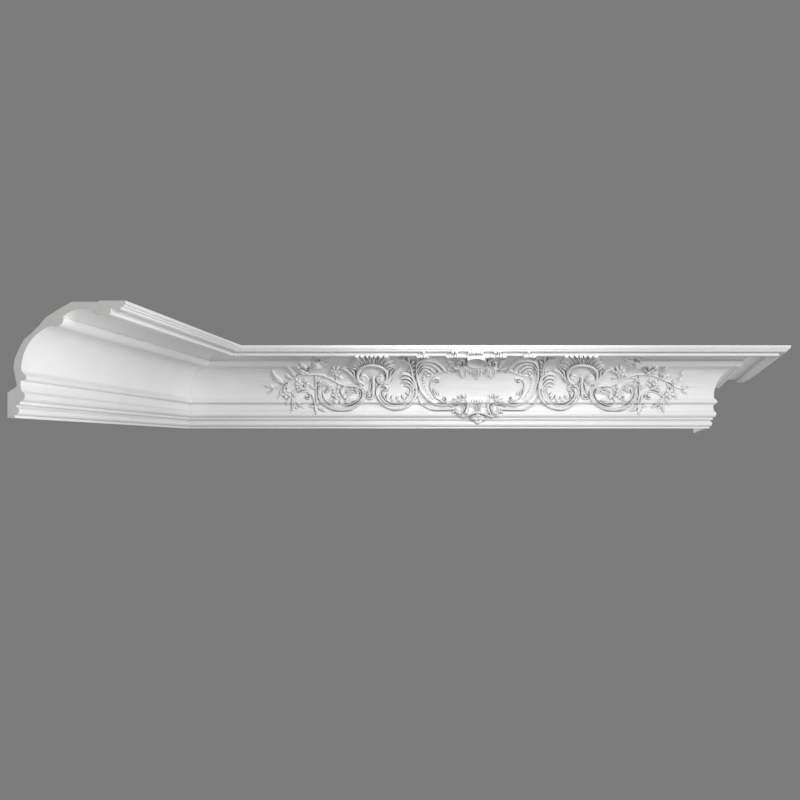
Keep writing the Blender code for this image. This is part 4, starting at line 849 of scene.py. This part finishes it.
def satin_primer():
    """Satin white primer on cast foam: faint mottling, fine pits, and painted shade darkening the creases."""
    finish, tree, shader = new_finish("white_moulding_satin")
    shader.inputs["IOR"].default_value = PAINT_IOR
    place = make_node(tree, "ShaderNodeTexCoord", {}).outputs["Object"]
    noise = make_node(tree, "ShaderNodeTexNoise", {"Vector": place, "Scale": MOTTLE_SCALE, "Detail": 4.0})
    mottle = noise.outputs["Fac"]
    # painted shade: ambient occlusion over a few millimetres darkens the paint in creases and under raised
    # forms
    hollow = make_node(tree, "ShaderNodeAmbientOcclusion", {"Distance": CREASE_REACH}, samples=8,
                       only_local=True)
    crease = make_node(tree, "ShaderNodeMapRange",
                       {"Value": hollow.outputs["AO"], "From Min": CREASE_RANGE[0],
                        "From Max": CREASE_RANGE[1]})
    # the mottled white multiplied by the painted crease shade
    crease_shaded = make_node(tree, "ShaderNodeMix",
                       {"Factor": 1.0, "A": ramp(tree, mottle, PAINT_DARK, PAINT_LIGHT, 0.3, 0.7),
                        "B": ramp(tree, crease.outputs["Result"], PAINTED_CREASE_SHADE, OPEN_TONE)},
                       data_type="RGBA", blend_type="MULTIPLY")
    tree.links.new(crease_shaded.outputs["Result"], shader.inputs["Base Color"])
    rough = make_node(tree, "ShaderNodeMapRange",
                      {"Value": mottle, "To Min": PAINT_ROUGHNESS[0], "To Max": PAINT_ROUGHNESS[1]})
    tree.links.new(rough.outputs["Result"], shader.inputs["Roughness"])
    skin = make_node(tree, "ShaderNodeTexNoise", {"Vector": place, "Scale": PIT_SCALE, "Detail": 3.0})
    tree.links.new(pitted(tree, skin.outputs["Fac"], 0.15), shader.inputs["Normal"])
    return finish


def raw_foam():
    """Bare foam where the moulding was sawn and on its unpainted back: dull, with fine open cells."""
    finish, tree, shader = new_finish("raw_foam")
    place = make_node(tree, "ShaderNodeTexCoord", {}).outputs["Object"]
    foam = make_node(tree, "ShaderNodeTexVoronoi", {"Vector": place, "Scale": CELL_SCALE})
    cells = foam.outputs["Distance"]
    tree.links.new(ramp(tree, cells, FOAM_DARK, FOAM_LIGHT), shader.inputs["Base Color"])
    shader.inputs["Roughness"].default_value = FOAM_ROUGHNESS
    tree.links.new(pitted(tree, cells, 0.4), shader.inputs["Normal"])
    return finish


def soft_light(name, place, size, watts, target, spread_angle):
    """A square softbox at place, in metres, turned to its target; the camera doesn't see the box itself."""
    lamp = bpy.data.lights.new(name, "AREA")
    lamp.size = size
    lamp.energy = watts
    lamp.spread = math.radians(spread_angle)
    light = bpy.data.objects.new(name, lamp)
    light.location = place
    light.rotation_euler = (Vector(target) - Vector(place)).to_track_quat("-Z", "Y").to_euler()
    light.visible_camera = False
    bpy.context.scene.collection.objects.link(light)


def camera():
    """The photo's own view, level and square-on to the middle wall."""
    lens = bpy.data.cameras.new("camera")
    lens.lens = LENS
    lens.shift_x, lens.shift_y = SHIFT
    eye = bpy.data.objects.new("camera", lens)
    eye.location = CORNER + Vector(CAMERA_AT) * MM
    eye.rotation_euler = (math.pi / 2, 0, 0)
    bpy.context.scene.collection.objects.link(eye)
    bpy.context.scene.camera = eye


def floor():
    """A plain pale floor a hall's height below, out of the photo's frame; it throws no light on the part."""
    mesh = bpy.data.meshes.new("floor")
    sides = (-FLOOR_HALF, FLOOR_HALF)
    mesh.from_pydata([(x, y, -FLOOR_BELOW) for x in sides for y in sides], [], [(0, 2, 3, 1)])
    paint, _, shader = new_finish("pale_floor")
    shader.inputs["Base Color"].default_value = FLOOR_TONE
    shader.inputs["Roughness"].default_value = FLOOR_ROUGHNESS
    shader.inputs["Emission Color"].default_value = FLOOR_GLOW
    shader.inputs["Emission Strength"].default_value = GLOW_STRENGTH
    mesh.materials.append(paint)
    ground = bpy.data.objects.new("floor", mesh)
    ground.visible_diffuse = ground.visible_glossy = ground.visible_shadow = False
    bpy.context.scene.collection.objects.link(ground)


def studio():
    """Even grey all round, and the softboxes."""
    world = bpy.data.worlds.new("studio")
    world.use_nodes = True
    world.node_tree.nodes["Background"].inputs["Color"].default_value = BACKDROP
    world.node_tree.nodes["Background"].inputs["Strength"].default_value = 1.0
    bpy.context.scene.world = world
    bpy.context.scene.view_settings.view_transform = "Standard"
    for name, settings in SOFTBOXES.items():
        soft_light(name, *settings)


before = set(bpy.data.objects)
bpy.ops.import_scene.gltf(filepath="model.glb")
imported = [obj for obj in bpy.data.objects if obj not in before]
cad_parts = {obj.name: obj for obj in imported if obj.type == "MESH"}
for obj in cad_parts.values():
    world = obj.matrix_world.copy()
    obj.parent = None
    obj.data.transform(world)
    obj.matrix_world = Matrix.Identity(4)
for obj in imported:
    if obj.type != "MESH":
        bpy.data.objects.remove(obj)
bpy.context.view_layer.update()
CORNER = Vector((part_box("left_length")[0].x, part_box("centre_length")[1].y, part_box("centre_length")[0].z))
FINISHES = [satin_primer(), raw_foam()]
sin_turn, cos_turn = math.sin(RETURN_TURN), math.cos(RETURN_TURN)
swept_length("left_length_moulding", "left_length", lambda p: 0 * p,
             lambda p: LEFT_WALL - p - HALF_GAP * math.sqrt(2), place_of((0, -LEFT_WALL, 0), math.pi / 2))
carved_length()
swept_length("return_length_moulding", "return_length",
             lambda p: -p * math.tan(RETURN_TURN / 2) + HALF_GAP / math.cos(RETURN_TURN / 2),
             lambda p: (RETURN_DEPTH + p * cos_turn) / sin_turn, place_of((CENTRE_WALL, 0, 0), RETURN_TURN))
studio()
floor()
camera()
